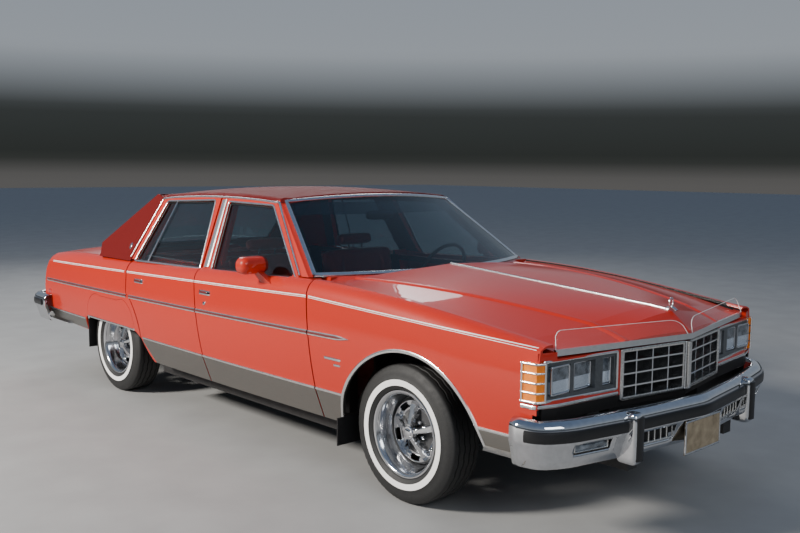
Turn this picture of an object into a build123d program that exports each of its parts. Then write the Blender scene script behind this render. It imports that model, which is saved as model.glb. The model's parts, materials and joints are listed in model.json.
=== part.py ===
from build123d import *
import os
from math import atan2, cos, degrees, hypot, radians, sin

# Full-size four-door sedan. X runs to the car's left, Y to its rear and Z up, with the
# origin on the ground below the middle of the car. All lengths are in millimetres.

# Running gear
FRONT_AXLE_Y = -1640
WHEELBASE = 2944
REAR_AXLE_Y = FRONT_AXLE_Y + WHEELBASE
TYRE_RADIUS = 332
AXLE_Z = TYRE_RADIUS
TYRE_WIDTH = 205
RIM_RADIUS = 190
RIM_WIDTH = 165
FRONT_WHEEL_X = 783
REAR_WHEEL_X = 775
KINGPIN_X = 690
SPOKES = 5

# Body side: plan curve, belt line and lower trim
HALF_WIDTH = 957
PLAN_CURVE = 100000
BELT_Z = 973
BELT_FALL = 0.0265
TRIM_TOP_Z = 455
WIDEST_Z = 700
DOOR_LOW_Z = 305
SKIN = 14
DOOR_INNER_X = 800
FLANGE_INNER_X = 872
DOOR_GAP = 8
SEAT = 0.3
JAMB = 22

# Greenhouse
SIDE_LEAN = 0.476
WINDSHIELD_Y = -1118
WINDSHIELD_LEAN = 1.545
WINDSHIELD_CURVE = 1599
WINDSHIELD_BASE_Z = 1012
WINDSHIELD_LOW_Z = 1006
COWL_Z = WINDSHIELD_LOW_Z - 52
COWL_SKIN = 12
COWL_HALF = 765
COWL_LIP = 20
BACKLIGHT_Y = 1700
BACKLIGHT_BASE_Z = 980
BACKLIGHT_CURVE = 3500
GLASS = 5
FRAME_DEPTH = 36
RING_DEPTH = FRAME_DEPTH + 7
ROOF_PEAK_Y = 150
ROOF_Z = 1448
ROOF_CURVE = 9500
ROOF_SKIN = 20
DRIP_Z = 1388

# Floor and frame
FLOOR_Z = 300
FLOOR_SKIN = 8
SILL_X = 745
POST_X = 690


def face(plane, start, *legs):
    """A closed face: a leg of two numbers is a line, one of four an arc through its first point."""
    with BuildSketch(plane) as sketch:
        with BuildLine():
            at = start
            for leg in legs:
                if len(leg) == 4:
                    ThreePointArc(at, leg[:2], leg[2:])
                else:
                    Line(at, leg)
                at = leg[-2:]
            if at != start:
                Line(at, start)
        make_face()
    return sketch.sketch


def side_plane(x):
    return Plane((x, 0, 0), x_dir=(0, 1, 0), z_dir=(1, 0, 0))


def front_plane(y):
    return Plane((0, y, 0), x_dir=(1, 0, 0), z_dir=(0, -1, 0))


def side_prism(x0, x1, start, *legs):
    return extrude(face(side_plane(x0), start, *legs), x1 - x0, dir=(1, 0, 0))


def front_prism(y0, y1, start, *legs):
    return extrude(face(front_plane(y0), start, *legs), y1 - y0, dir=(0, 1, 0))


def plan_prism(z0, z1, start, *legs):
    return extrude(face(Plane.XY.offset(z0), start, *legs), z1 - z0, dir=(0, 0, 1))


def box(x0, x1, y0, y1, z0, z1):
    return Pos((x0 + x1) / 2, (y0 + y1) / 2, (z0 + z1) / 2) * Box(x1 - x0, y1 - y0, z1 - z0)


def rod(start, end, radius):
    """A round bar between two points."""
    axis = Vector(end) - Vector(start)
    return Plane(start, z_dir=axis) * Cylinder(radius, axis.length, align=(Align.CENTER, Align.CENTER, Align.MIN))


def disc(x0, x1, y, z, radius):
    """A round bar along X."""
    return rod((x0, y, z), (x1, y, z), radius)


def mirrored(shape):
    return mirror(shape, Plane.YZ)


def save(name, *shapes):
    solids = [solid for shape in shapes for solid in shape.solids()]
    export_step(solids[0] if len(solids) == 1 else Compound(solids), f"parts/{name}.step")


# Body side surface

# Stations along the side: y, height of the shoulder, height of the pinstripe, shoulder bulge.
SIDE_STATIONS = [
    (-2470, 866, 852, 5),
    (-1900, 938, 880, 9),
    (-960, BELT_Z + BELT_FALL * 960, 919, 13),
    (100, BELT_Z - BELT_FALL * 100, 893, 13),
    (1200, BELT_Z - BELT_FALL * 1200, 866, 13),
    (2100, 919, 843, 12),
    (2470, 876, 830, 9),
]
SHOULDER_IN = 79
SHOULDER_OUT = 17
TRIM_IN = 13
SILL_IN = 52


def half_width(y):
    return HALF_WIDTH - y * y / PLAN_CURVE


def side_section(y, top, pin, bulge, skin, inner, low):
    wide = half_width(y) - skin
    top = top - skin
    shoulder = (wide - SHOULDER_IN, top)
    crease = (wide - SHOULDER_OUT, pin)
    chord = hypot(shoulder[0] - crease[0], shoulder[1] - crease[1])
    middle_x = (shoulder[0] + crease[0]) / 2 + bulge * (top - pin) / chord
    middle_z = (top + pin) / 2 + bulge * (SHOULDER_IN - SHOULDER_OUT) / chord
    sill = TRIM_IN + (SILL_IN - TRIM_IN) * (TRIM_TOP_Z - low) / (TRIM_TOP_Z - DOOR_LOW_Z)
    return face(front_plane(y), (inner, low), (wide - sill, low), (wide - TRIM_IN, TRIM_TOP_Z),
                (wide, WIDEST_Z, *crease), (middle_x, middle_z, *shoulder), (inner, top))


def body_side(skin=0, inner=780, low=DOOR_LOW_Z):
    return loft([side_section(*station, skin, inner, low) for station in SIDE_STATIONS])


SIDE = body_side()
SIDE_CORE = body_side(skin=SKIN, inner=500, low=DOOR_LOW_Z - 20)
SIDE_SEAT = body_side(skin=SKIN + SEAT, inner=300, low=DOOR_LOW_Z - 20)


def front_seam(z):
    return -976 + 0.171 * (z - 919)


def mid_seam(z):
    return 116 + 0.22 * (z - 908)


def side_x(z):
    """Outer plane of the window frames."""
    return 876 - SIDE_LEAN * (z - BELT_Z)


def frame_slab(depth0, depth1):
    """Slab between two depths behind the outer plane of the window frames."""
    low, high = 940, 1420
    return front_prism(-1100, 1800, (side_x(low) - depth0, low), (side_x(high) - depth0, high),
                       (side_x(high) - depth1, high), (side_x(low) - depth1, low))


def drip(y):
    """Lower edge of the roof above the doors."""
    return DRIP_Z - (y - ROOF_PEAK_Y) ** 2 / (2 * ROOF_CURVE)


# Side window openings as (y, z): low front, top front, top rear, low rear.
FRONT_WINDOW = [(-790, 993), (-361, 1350), (100, 1357), (11, 970)]
REAR_WINDOW = [(150, 968), (264, 1361), (829, 1337), (949, 953)]
WINDOW_CORNER = 14


def window_prism(points, margin):
    outline = make_face(Polyline([side_plane(500).from_local_coords((y, z, 0)) for y, z in points], close=True))
    outline = fillet(outline.vertices(), WINDOW_CORNER)
    if margin:
        outline = offset(outline, margin)
    return extrude(outline, 500, dir=(1, 0, 0))


FRAME_TOP_GAP = 7
TOP = 1020
BELOW = 250

# Door hinges: pin X and Y, and the Y where the arm leaves its post.
FRONT_PIN = (930, -964, -985)
REAR_PIN = (938, 128, 85)
HINGE_HEIGHTS = (600, 750)
PIN_RADIUS = 4
EYE_RADIUS = 8.5
HINGE_ARM = 12
HINGE_HALF = 14
POCKET_HALF = 20


def hinge_pockets(pin):
    """Openings in a door's edge that its hinge arms swing through, each crossed by a pin."""
    x, y = pin[:2]
    reach = EYE_RADIUS + 2.5
    pockets = []
    for z in HINGE_HEIGHTS:
        space = plan_prism(z - POCKET_HALF, z + POCKET_HALF, (x - 140, y + reach), (x + reach - 3, y + reach),
                           (x + reach, y + reach - 3), (x + reach, y - reach), (x + 3, y - 60), (x + 3, y - 140),
                           (x - 140, y - 140))
        pockets.append(space - rod((x, y, z - POCKET_HALF), (x, y, z + POCKET_HALF), PIN_RADIUS))
    return pockets


def hinge_arms(pin):
    """Arms on the post, each with an eye round the door's pin."""
    x, y, post_y = pin
    turn = atan2(y - post_y, x - SILL_X)
    across = (-sin(turn) * HINGE_ARM / 2, cos(turn) * HINGE_ARM / 2)
    root = (SILL_X - 1, post_y)
    arms = []
    for z in HINGE_HEIGHTS:
        bar = plan_prism(z - HINGE_HALF, z + HINGE_HALF, (root[0] + across[0], root[1] + across[1]),
                         (x + across[0], y + across[1]), (x - across[0], y - across[1]),
                         (root[0] - across[0], root[1] - across[1]))
        eye = rod((x, y, z - HINGE_HALF), (x, y, z + HINGE_HALF), EYE_RADIUS)
        arms.append(bar + eye - rod((x, y, z - POCKET_HALF), (x, y, z + POCKET_HALF), PIN_RADIUS + SEAT))
    return arms


def front_door():
    half = DOOR_GAP / 2
    edge = half + JAMB
    outer = side_prism(FLANGE_INNER_X, 1000, (front_seam(TOP) + half, TOP), (front_seam(BELOW) + half, BELOW),
                       (mid_seam(BELOW) - half, BELOW), (mid_seam(TOP) - half, TOP))
    inner = side_prism(DOOR_INNER_X, FLANGE_INNER_X, (front_seam(TOP) + edge, TOP), (front_seam(BELOW) + edge, BELOW),
                       (mid_seam(BELOW) - edge, BELOW), (mid_seam(TOP) - edge, TOP))
    frame = side_prism(500, 1000, (-844, 980), (-398, drip(-398) - FRAME_TOP_GAP),
                       (-100, drip(-100) - FRAME_TOP_GAP, 196, drip(196) - FRAME_TOP_GAP), (114, 955), (-844, 955))
    frame = frame & frame_slab(0, FRAME_DEPTH)
    return (SIDE & outer) + (SIDE & inner) + frame - window_prism(FRONT_WINDOW, 0) - hinge_pockets(FRONT_PIN)


def rear_door():
    half = DOOR_GAP / 2
    edge = half + JAMB
    outer = side_prism(FLANGE_INNER_X, 1000, (mid_seam(TOP) + half, TOP), (1012 - half, TOP), (985 - half, 730),
                       (850 - half, 612 + half, 798 - half, 454), (740, 360, 590, BELOW), (mid_seam(BELOW) + half, BELOW))
    inner = side_prism(DOOR_INNER_X, FLANGE_INNER_X, (mid_seam(TOP) + edge, TOP), (1012 - edge, TOP), (985 - edge, 740),
                       (850 - edge, 622, 770 - edge, 454), (560, BELOW), (mid_seam(BELOW) + edge, BELOW))
    frame = side_prism(500, 1000, (132, 955), (211, drip(211) - FRAME_TOP_GAP),
                       (560, drip(560) - FRAME_TOP_GAP, 888, drip(888) - FRAME_TOP_GAP), (1004, 955))
    frame = frame & frame_slab(0, FRAME_DEPTH)
    return (SIDE & outer) + (SIDE & inner) + frame - window_prism(REAR_WINDOW, 0) - hinge_pockets(REAR_PIN)


def side_glass(window):
    return window_prism(window, -0.3) & frame_slab(14, 14 + GLASS)


# Fenders and hood

FRONT_ARCH = (-1704, 265, 470)
HOOD_GAP = 6
HOOD_EDGE_REAR = (838, -945)
HOOD_EDGE_FRONT = (798, -2470)
HOOD_CLEARANCE = 14
HOOD_PIVOT = (-925, 965)
HOOD_ARM_X = 776
HOOD_ARM = 14
HOOD_PIN_RADIUS = 5
OVERHANG_LOW_Z = 388


def arch(x0, x1, y, z, radius):
    """Wheel opening: a round top with straight sides below its centre."""
    return disc(x0, x1, y, z, radius) + box(x0, x1, y - radius, y + radius, 100, z)


def fender():
    half = DOOR_GAP / 2
    outline = side_prism(600, 1000, (front_seam(TOP) - half, TOP), (FRONT_FACE_Y, TOP), (FRONT_FACE_Y, OVERHANG_LOW_Z),
                         (-1800, OVERHANG_LOW_Z), (-1500, DOOR_LOW_Z), (front_seam(DOOR_LOW_Z) - half, DOOR_LOW_Z))
    inboard = plan_prism(200, 1100, (600, -2500), (HOOD_EDGE_FRONT[0], -2470), HOOD_EDGE_REAR, (HOOD_EDGE_REAR[0], -900),
                         (600, -900))
    panel = (SIDE & outline) - SIDE_CORE - inboard - arch(600, 1000, *FRONT_ARCH)
    corner_notch = box(600, 1000, -2500, CORNER_LAMP_Y, LAMP_LOW_Z, LAMP_TOP_Z)
    return panel - corner_notch - box(600, 1000, -2500, -2425, 300, 590)


# Hood stations for one half: rear to front, Y at the middle, sweep back per unit of X,
# height at the middle, ridge X and Z, edge X and Z.
HOOD_STATIONS = [
    (-880, 0.00, 1052, 650, 994, 990),
    (-1900, 0.03, 985, 520, 968, 934),
    (-2400, 0.12, 948, 410, 905, 866),
    (-2505, 0.15, 936, 398, 876, 848),
    (-2600, 0.20, 856, 390, 846, 840),
]
HOOD_SKIN = 18


def hood_section(y, sweep, middle_z, ridge_x, ridge_z, edge_z):
    slope = (HOOD_EDGE_REAR[0] - HOOD_EDGE_FRONT[0]) / (HOOD_EDGE_REAR[1] - HOOD_EDGE_FRONT[1])
    edge_x = HOOD_EDGE_FRONT[0] + slope * (y + sweep * HOOD_EDGE_FRONT[0] - HOOD_EDGE_FRONT[1]) - HOOD_GAP
    along = hypot(1, sweep)
    plane = Plane((0, y, 0), x_dir=(1 / along, sweep / along, 0), z_dir=(sweep / along, -1 / along, 0))
    ridge = ridge_x * along
    edge = edge_x * along
    crown = (middle_z + ridge_z) / 2 + 4
    dip = (ridge_z + edge_z) / 2 - 6
    return face(plane, (0, middle_z), (ridge / 2, crown, ridge - 20, ridge_z), (ridge, ridge_z + 4, ridge + 22, ridge_z - 6),
                ((ridge + edge) / 2, dip, edge, edge_z), (edge, edge_z - HOOD_SKIN),
                ((ridge + edge) / 2, dip - HOOD_SKIN, ridge + 22, ridge_z - 6 - HOOD_SKIN),
                (ridge, ridge_z + 4 - HOOD_SKIN, ridge - 20, ridge_z - HOOD_SKIN),
                (ridge / 2, crown - HOOD_SKIN, 0, middle_z - HOOD_SKIN))


def hood():
    sections = [hood_section(*station) for station in HOOD_STATIONS]
    half = loft(sections[:3]) + loft(sections[2:], ruled=True)
    panel = half + mirrored(half) - windshield_sheet(-HOOD_CLEARANCE, 900)
    return panel + hood_arm() + mirrored(hood_arm())


def hood_arm():
    """Hinge arm under a rear corner of the hood, with an eye round its pin."""
    y, z = HOOD_PIVOT
    x0, x1 = HOOD_ARM_X, HOOD_ARM_X + HOOD_ARM
    bar = side_prism(x0, x1, (y, z - 9), (y - 135, z - 9), (y - 135, z + 7), (y, z + 9))
    return bar + disc(x0, x1, y, z, 10) - disc(x0 - 1, x1 + 1, y, z, HOOD_PIN_RADIUS + SEAT)


def windshield_y(x, height):
    """Outer surface of the windshield at a height above its base corners."""
    return WINDSHIELD_Y + x * x / (2 * WINDSHIELD_CURVE) + WINDSHIELD_LEAN * height


def cowl():
    """Recessed panel between the hood and the windshield, with the lip that the glass stands on."""
    z = COWL_Z
    back = windshield_y(0, z - WINDSHIELD_BASE_Z) + COWL_LIP * hypot(1, WINDSHIELD_LEAN)
    edge = COWL_HALF
    panel = plan_prism(z - COWL_SKIN, z, (-edge, -1240), (edge, -1240), (edge, back + edge * edge / (2 * WINDSHIELD_CURVE)),
                       (0, back, -edge, back + edge * edge / (2 * WINDSHIELD_CURVE)))
    lip = front_prism(-1300, -800, (-edge, z - COWL_SKIN), (edge, z - COWL_SKIN), (edge, WINDSHIELD_LOW_Z),
                      (-edge, WINDSHIELD_LOW_Z))
    return panel + (lip & windshield_sheet(0, COWL_LIP))


# Roof and pillars

def roof():
    """Crown, sail panels and the panel round the rear window."""
    drip_x = side_x(DRIP_Z)
    crown_low = DRIP_Z + 26
    profile = face(front_plane(ROOF_PEAK_Y), (0, ROOF_Z), (320, ROOF_Z - 8, 618, crown_low),
                   (668, crown_low - 8, drip_x + 8, DRIP_Z), (drip_x - 34, DRIP_Z), (600, crown_low - ROOF_SKIN),
                   (320, ROOF_Z - 8 - ROOF_SKIN, 0, ROOF_Z - ROOF_SKIN))
    spin = Axis((0, ROOF_PEAK_Y, ROOF_Z - ROOF_CURVE), (1, 0, 0))
    ahead = degrees((ROOF_PEAK_Y + 620) / ROOF_CURVE)
    behind = degrees((1130 - ROOF_PEAK_Y) / ROOF_CURVE)
    crown = revolve(profile.rotate(spin, ahead), spin, -(ahead + behind))
    crown = crown + mirrored(crown)
    crown = crown - windshield_block(0) - backlight_block(0)
    sail = side_prism(500, 1000, (1012 + DOOR_GAP, 940), (896, drip(896)), (1000, 1384), (1640, 972), (1560, 940))
    sail = sail & frame_slab(0, FRAME_DEPTH)
    sail = sail - backlight_block(0) - SIDE
    surround = front_prism(900, 1900, (-side_x(950), 950), (-side_x(1400), 1400), (side_x(1400), 1400),
                           (side_x(950), 950)) - backlight_opening(0)
    surround = surround & backlight_sheet(0, ROOF_SKIN)
    surround = surround - box(-1000, 1000, 900, 1900, 1384, 1500)
    corner = sail_corner(0)
    return crown + sail + mirrored(sail) + surround - corner - mirrored(corner)


SAIL_CORNER = [(640, 1690), (780, 1600), (850, 1520), (880, 1480), (1000, 1480)]


def sail_corner(clearance):
    """Space behind the rounded lower corner of a sail panel."""
    edge = [(x, y + clearance) for x, y in SAIL_CORNER]
    return plan_prism(900, 1100, *edge, (1000, 1800), (640, 1800))


def windshield_sheet(depth0, depth1):
    """Oblique sheet between two depths behind the windshield's outer surface."""
    low = 900
    rise = 560
    start = [windshield_y(0, low - WINDSHIELD_BASE_Z) + depth * 1.84 for depth in (depth0, depth1)]
    edge = 900
    back = edge * edge / (2 * WINDSHIELD_CURVE)
    sheet = face(Plane.XY.offset(low), (-edge, start[0] + back), (0, start[0], edge, start[0] + back),
                 (edge, start[1] + back), (0, start[1], -edge, start[1] + back))
    return extrude(sheet, rise * hypot(1, WINDSHIELD_LEAN), dir=(0, WINDSHIELD_LEAN, 1))


def windshield_block(clearance):
    return windshield_sheet(-900, clearance)


def backlight_sheet(depth0, depth1):
    low = 900
    rise = 560
    base = BACKLIGHT_Y - WINDSHIELD_LEAN * (low - BACKLIGHT_BASE_Z)
    start = [base - depth * 1.84 for depth in (depth0, depth1)]
    edge = 950
    fall = edge * edge / (2 * BACKLIGHT_CURVE)
    sheet = face(Plane.XY.offset(low), (-edge, start[0] - fall), (0, start[0], edge, start[0] - fall),
                 (edge, start[1] - fall), (0, start[1], -edge, start[1] - fall))
    return extrude(sheet, rise * hypot(1, WINDSHIELD_LEAN), dir=(0, -WINDSHIELD_LEAN, 1))


def backlight_block(clearance):
    return backlight_sheet(-900, clearance)


def backlight_opening(margin):
    low, high = 996, 1352
    return front_prism(900, 1900, (-640 + margin, low + margin), (-520 + margin, high - margin),
                       (0, high + 22 - margin, 520 - margin, high - margin), (640 - margin, low + margin),
                       (0, low + 10 + margin, -640 + margin, low + margin))


def windshield():
    base, top = WINDSHIELD_LOW_Z, 1386
    edge = 27
    outline = front_prism(-1300, 0, (-side_x(base) + edge, base), (-side_x(top) + edge, top),
                          (0, top + 36, side_x(top) - edge, top), (side_x(base) - edge, base))
    return (outline & windshield_sheet(0, GLASS)) - ROOF


def rear_window():
    return backlight_opening(0.3) & backlight_sheet(2, 2 + GLASS)


def side_frame():
    """Door frame ring of the body side: pillars, roof rail and sill, behind the doors."""
    upper = side_prism(500, 1000, (-862, 1004), (-430, 1366), (ROOF_PEAK_Y, DRIP_Z, 905, drip(905)), (1040, 960))
    upper = upper - window_prism([(-810, 940), (-355, 1340), (88, 1346), (-20, 940)], 0)
    upper = upper - window_prism([(176, 940), (282, 1350), (815, 1328), (945, 940)], 0)
    upper = (upper & frame_slab(RING_DEPTH, RING_DEPTH + 25)) - windshield_block(GLASS)
    under_cowl = COWL_Z - COWL_SKIN - SEAT
    lower = side_prism(POST_X, SILL_X, (-1100, FLOOR_Z), (-1100, under_cowl), (-985, under_cowl), (-985, 960),
                       (1090, 960), (1090, 700), (900, 560), (830, FLOOR_Z))
    lower = lower - side_prism(600, 1000, (-1010, 400), (-900, 925), (mid_seam(925) - 50, 925),
                               (mid_seam(400) - 50, 400))
    lower = lower - side_prism(600, 1000, (mid_seam(400) + 50, 400), (mid_seam(925) + 50, 925), (960, 925), (940, 740),
                               (740, 400))
    cowl_side = box(POST_X, HOOD_ARM_X - 6, -975, -850, 925, 1004)
    hood_pin = disc(HOOD_ARM_X - 10, HOOD_ARM_X + HOOD_ARM, *HOOD_PIVOT, HOOD_PIN_RADIUS)
    centre_tie = box(POST_X, 862, mid_seam(950) - 12, mid_seam(950) + 12, 925, 992)
    centre_tie = centre_tie & front_prism(-1100, 1800, (500, 900), (side_x(900) - RING_DEPTH, 900),
                                          (side_x(1000) - RING_DEPTH, 1000), (500, 1000))
    frame = (upper + lower + cowl_side + hood_pin + centre_tie + a_pillar()) - ROOF - WINDSHIELD
    return frame + hinge_arms(FRONT_PIN) + hinge_arms(REAR_PIN)


def a_pillar():
    """Painted pillar between the windshield and the door frame."""
    sections = []
    for z in (1004, 1386):
        outer = side_x(z)
        ahead = windshield_y(outer - 26, z - WINDSHIELD_BASE_Z)
        behind = -838 + (z - 985) * 1.158 - DOOR_GAP
        sections.append(face(Plane.XY.offset(z), (outer - 26, ahead), (outer, ahead + 8), (outer, behind),
                             (outer - 85, behind), (outer - 85, ahead + 20)))
    return loft(sections, ruled=True)


# Front end

LAMP_LOW_Z = 642
LAMP_TOP_Z = 804
CORNER_LAMP_Y = -2374
FRONT_FACE_Y = -2446
HEADER_TOP_Z = 812
HEADER_LOW_Z = 560
HEADER_DEPTH = 46
HEADER_PLAN = [(0, -2588), (424, -2512), (795, -2470), (893, -2438)]
GRILLE_HALF = 418
GRILLE_LOW_Z = 590
GRILLE_TOP_Z = 808
GRILLE_ROWS = 4
LAMP_INNER_X = 432
LAMP_OUTER_X = 866


def plan_strip(points, depth, z0, z1):
    """Symmetric wall that follows half a plan line, with its depth towards the rear."""
    ahead = [(-x, y) for x, y in reversed(points)] + points[1:]
    behind = [(x, y + depth) for x, y in reversed(points)] + [(-x, y + depth) for x, y in points[1:]]
    return plan_prism(z0, z1, ahead[0], *ahead[1:], *behind)


def header_panel():
    panel = plan_strip(HEADER_PLAN, HEADER_DEPTH, HEADER_LOW_Z, HEADER_TOP_Z)
    panel -= box(-GRILLE_HALF - 4, GRILLE_HALF + 4, -2700, -2300, GRILLE_LOW_Z - 4, GRILLE_TOP_Z + 4)
    lamps = box(LAMP_INNER_X, LAMP_OUTER_X, -2700, -2300, LAMP_LOW_Z, LAMP_TOP_Z)
    return (panel & box(-LAMP_OUTER_X, LAMP_OUTER_X, -2700, -2300, 500, 900)) - lamps - mirrored(lamps)


def grille():
    """Two egg-crate halves set at the sweep of the nose, with a bright beak between them."""
    inner = (14, -2584)
    outer = (GRILLE_HALF, -2514)
    width = hypot(outer[0] - inner[0], outer[1] - inner[1])
    height = GRILLE_TOP_Z - GRILLE_LOW_Z
    depth = 60
    rim_bar = 12
    bar = 7
    frame = Box(width, depth, height) - Box(width - 2 * rim_bar, depth + 2, height - 2 * rim_bar)
    for k in range(1, GRILLE_ROWS):
        frame += Pos(X=-width / 2 + k * width / GRILLE_ROWS) * Box(bar, depth - 8, height - rim_bar)
        frame += Pos(Z=-height / 2 + k * height / GRILLE_ROWS) * Box(width - rim_bar, depth - 8, bar)
    turn = degrees(atan2(outer[1] - inner[1], outer[0] - inner[0]))
    middle = ((inner[0] + outer[0]) / 2, (inner[1] + outer[1]) / 2 + depth / 2 - 6, GRILLE_LOW_Z + height / 2)
    half = Pos(*middle) * Rot(Z=turn) * frame
    beak = plan_prism(GRILLE_LOW_Z, GRILLE_TOP_Z, (0, -2604), (24, -2584), (18, -2530), (0, -2530))
    half = half & box(0, 1000, -2700, -2300, 500, 900)
    whole = half + beak
    return whole + mirrored(whole)


LAMPS = [(566, 692), (712, 838)]
LENS_WIDTH = 116


def lamp_bezels():
    """Grey housings round the two lamps and the narrow inner lens of each side."""
    bezel = plan_prism(LAMP_LOW_Z, LAMP_TOP_Z, (LAMP_INNER_X, -2508), (LAMP_OUTER_X, -2450), (LAMP_OUTER_X, -2400),
                       (LAMP_INNER_X, -2440))
    for x0, x1 in LAMPS:
        bezel -= box(x0, x1, -2600, -2432, LAMP_LOW_Z + 20, LAMP_TOP_Z - 20)
    bezel -= box(452, 520, -2600, -2470, LAMP_LOW_Z + 20, LAMP_TOP_Z - 20)
    return [bezel, mirrored(bezel)]


def headlamps():
    lamps = []
    for x0, x1 in LAMPS:
        lens = box(x0 + 0.3, x1 - 0.3, -2466, -2432, LAMP_LOW_Z + 20.3, LAMP_TOP_Z - 20.3)
        lens = fillet(lens.edges().filter_by(Axis.Y), 10)
        lamps += [lens, mirrored(lens)]
    return lamps


def corner_lamps():
    """Amber lamps that wrap from the front round to the side, in four tiers."""
    block = plan_prism(LAMP_LOW_Z, LAMP_TOP_Z, (LAMP_OUTER_X + 0.3, -2466), (905, -2448), (912, CORNER_LAMP_Y - 0.3),
                       (880, CORNER_LAMP_Y - 0.3), (LAMP_OUTER_X + 0.3, -2420))
    tier = (LAMP_TOP_Z - LAMP_LOW_Z) / 4
    for k in range(1, 4):
        z = LAMP_LOW_Z + k * tier
        block -= plan_prism(z - 3, z + 3, (860, -2480), (930, -2480), (930, -2360), (903, -2360), (895, -2440), (860, -2455))
    return [block, mirrored(block)]


# Bumpers: back line in plan for one half, from the middle to the wrapped end.

FRONT_BUMPER_PLAN = [(0, -2650), (430, -2592), (790, -2518), (893, -2462), (911, -2352)]
REAR_BUMPER_PLAN = [(0, 2650), (430, 2644), (800, 2606), (892, 2545), (908, 2295)]
BUMPER_DEPTH = 62
BUMPER_LOW_Z = 375
BUMPER_TOP_Z = 578
STRIP_LOW_Z = 490
STRIP_TOP_Z = 540
STRIP_DEPTH = 64
GUARD_X = 492
GUARD_WIDTH = 60
GUARD_DEPTH = 92
GUARD_LOW_Z = 352
GUARD_TOP_Z = 574


def plan_y(points, x):
    """Y of a plan line at a distance from the middle."""
    for (x0, y0), (x1, y1) in zip(points, points[1:]):
        if x <= x1:
            return y0 + (y1 - y0) * (x - x0) / (x1 - x0)
    return points[-1][1]


def swept_bar(points, sign, profile):
    """Bar of one section (outward depth, Z) swept round the plan line; sign -1 faces forward."""
    path = Polyline([(x, y, 0) for x, y in points])
    section = make_face(Polyline([(0, points[0][1] + sign * depth, z) for depth, z in profile], close=True))
    half = sweep(section, path, transition=Transition.RIGHT)
    return half + mirrored(half)


def bumper(points, sign):
    bar = swept_bar(points, sign, [
        (0, BUMPER_TOP_Z - 4), (34, BUMPER_TOP_Z), (54, STRIP_TOP_Z + 8), (54, STRIP_LOW_Z - 6),
        (46, STRIP_LOW_Z - 26), (16, BUMPER_LOW_Z), (0, BUMPER_LOW_Z)])
    guard = guard_block(points, sign)
    return bar + guard + mirrored(guard)


def guard_block(points, sign):
    y = plan_y(points, GUARD_X) + sign * 20
    front = plan_y(points, GUARD_X) + sign * GUARD_DEPTH
    x0, x1 = GUARD_X - GUARD_WIDTH / 2, GUARD_X + GUARD_WIDTH / 2
    near, far = (front, y) if sign < 0 else (y, front)
    return chamfer(box(x0, x1, near, far, GUARD_LOW_Z, GUARD_TOP_Z).edges().filter_by(Axis.X), 14)


def rub_strip(points, sign):
    """Black impact strip on the face of a bumper, cut round its guards."""
    strip = swept_bar(points, sign, [
        (54.3, STRIP_LOW_Z), (54.3, STRIP_TOP_Z), (STRIP_DEPTH, STRIP_TOP_Z - 8), (STRIP_DEPTH, STRIP_LOW_Z + 8)])
    guard = box(GUARD_X - GUARD_WIDTH / 2, GUARD_X + GUARD_WIDTH / 2, -3000, 3000, 300, 600)
    return strip - guard - mirrored(guard)


# Openings through the face of the front bumper: inner X, outer X, low Z, high Z.
BUMPER_SLOTS = [(200, 440, 412, 478), (590, 780, 432, 478)]
PLATE_SIZE = (305, 152)
PLATE_HOLES = (177.8, 120.65)
PLATE_HOLE_RADIUS = 3.5
PLATE_TOP_Z = 478
PLATE_Y = -2684
PLATE_THICK = 4
RECESS_Y = -2664
RECESS_MARGIN = 8


def front_bumper():
    """Front bumper with its lamp and air openings and the recess behind the plate."""
    bar = bumper(FRONT_BUMPER_PLAN, -1)
    for x0, x1, z0, z1 in BUMPER_SLOTS:
        slot = box(x0, x1, -2760, -2480, z0, z1)
        bar = bar - slot - mirrored(slot)
    half = PLATE_SIZE[0] / 2 + RECESS_MARGIN
    return bar - box(-half, half, -2760, RECESS_Y, 300, PLATE_TOP_Z + RECESS_MARGIN / 2)


def plate_holder():
    """Blank plate with its four bolt holes, on a bracket in the recess of the front bumper."""
    y = PLATE_Y
    width, height = PLATE_SIZE
    plate = box(-width / 2, width / 2, y, y + PLATE_THICK, PLATE_TOP_Z - height, PLATE_TOP_Z)
    for x in (-PLATE_HOLES[0] / 2, PLATE_HOLES[0] / 2):
        for z in (-PLATE_HOLES[1] / 2, PLATE_HOLES[1] / 2):
            hole = (x, PLATE_TOP_Z - height / 2 + z)
            plate -= rod((hole[0], y - 1, hole[1]), (hole[0], y + 5, hole[1]), PLATE_HOLE_RADIUS)
    return plate + box(-40, 40, y + PLATE_THICK, RECESS_Y - SEAT, PLATE_TOP_Z - 90, PLATE_TOP_Z - 30)


# Rear body

REAR_LIP_Z = 492
SKIRT_HOOK = 8
SKIRT_REAR_Y = 1641
REAR_FLAP_Y = 1660
TRIM_LOW_REAR_Z = 388
TRUNK_HALF = 650
TRUNK_FRONT_Y = 1724
TAIL_PROFILE = [(2352, 889), (2420, 772), (2436, 640), (2436, 470)]


def quarter_outline(x0, x1):
    half = DOOR_GAP / 2
    return side_prism(x0, x1, (1012 + half, 1040), (1012 + half, 960), (985 + half, 730),
                      (850 + half, 612 - half, 798 + half, 454), (860, 488), (1000, REAR_LIP_Z),
                      (SKIRT_REAR_Y, REAR_LIP_Z), (REAR_FLAP_Y, 484), (REAR_FLAP_Y, TRIM_LOW_REAR_Z), (2300, TRIM_LOW_REAR_Z + 12),
                      (2436, 470), (2436, 640), (2420, 772), (2352, 889), (2330, 1040))


def skirt_outline(margin):
    """Fender skirt: the removable panel over the upper rear wheel."""
    return side_prism(880, 1000, (866 + margin, 300), (880 + margin, 520), (940 + margin, 640 - margin, 1120, 668 - margin),
                      (1400, 668 - margin), (1560 - margin, 640 - margin, 1618 - margin, 560), (1641 - margin, 300))


def quarter():
    panel = (SIDE & quarter_outline(700, 1000)) - SIDE_CORE
    return panel - skirt_outline(0)


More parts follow.
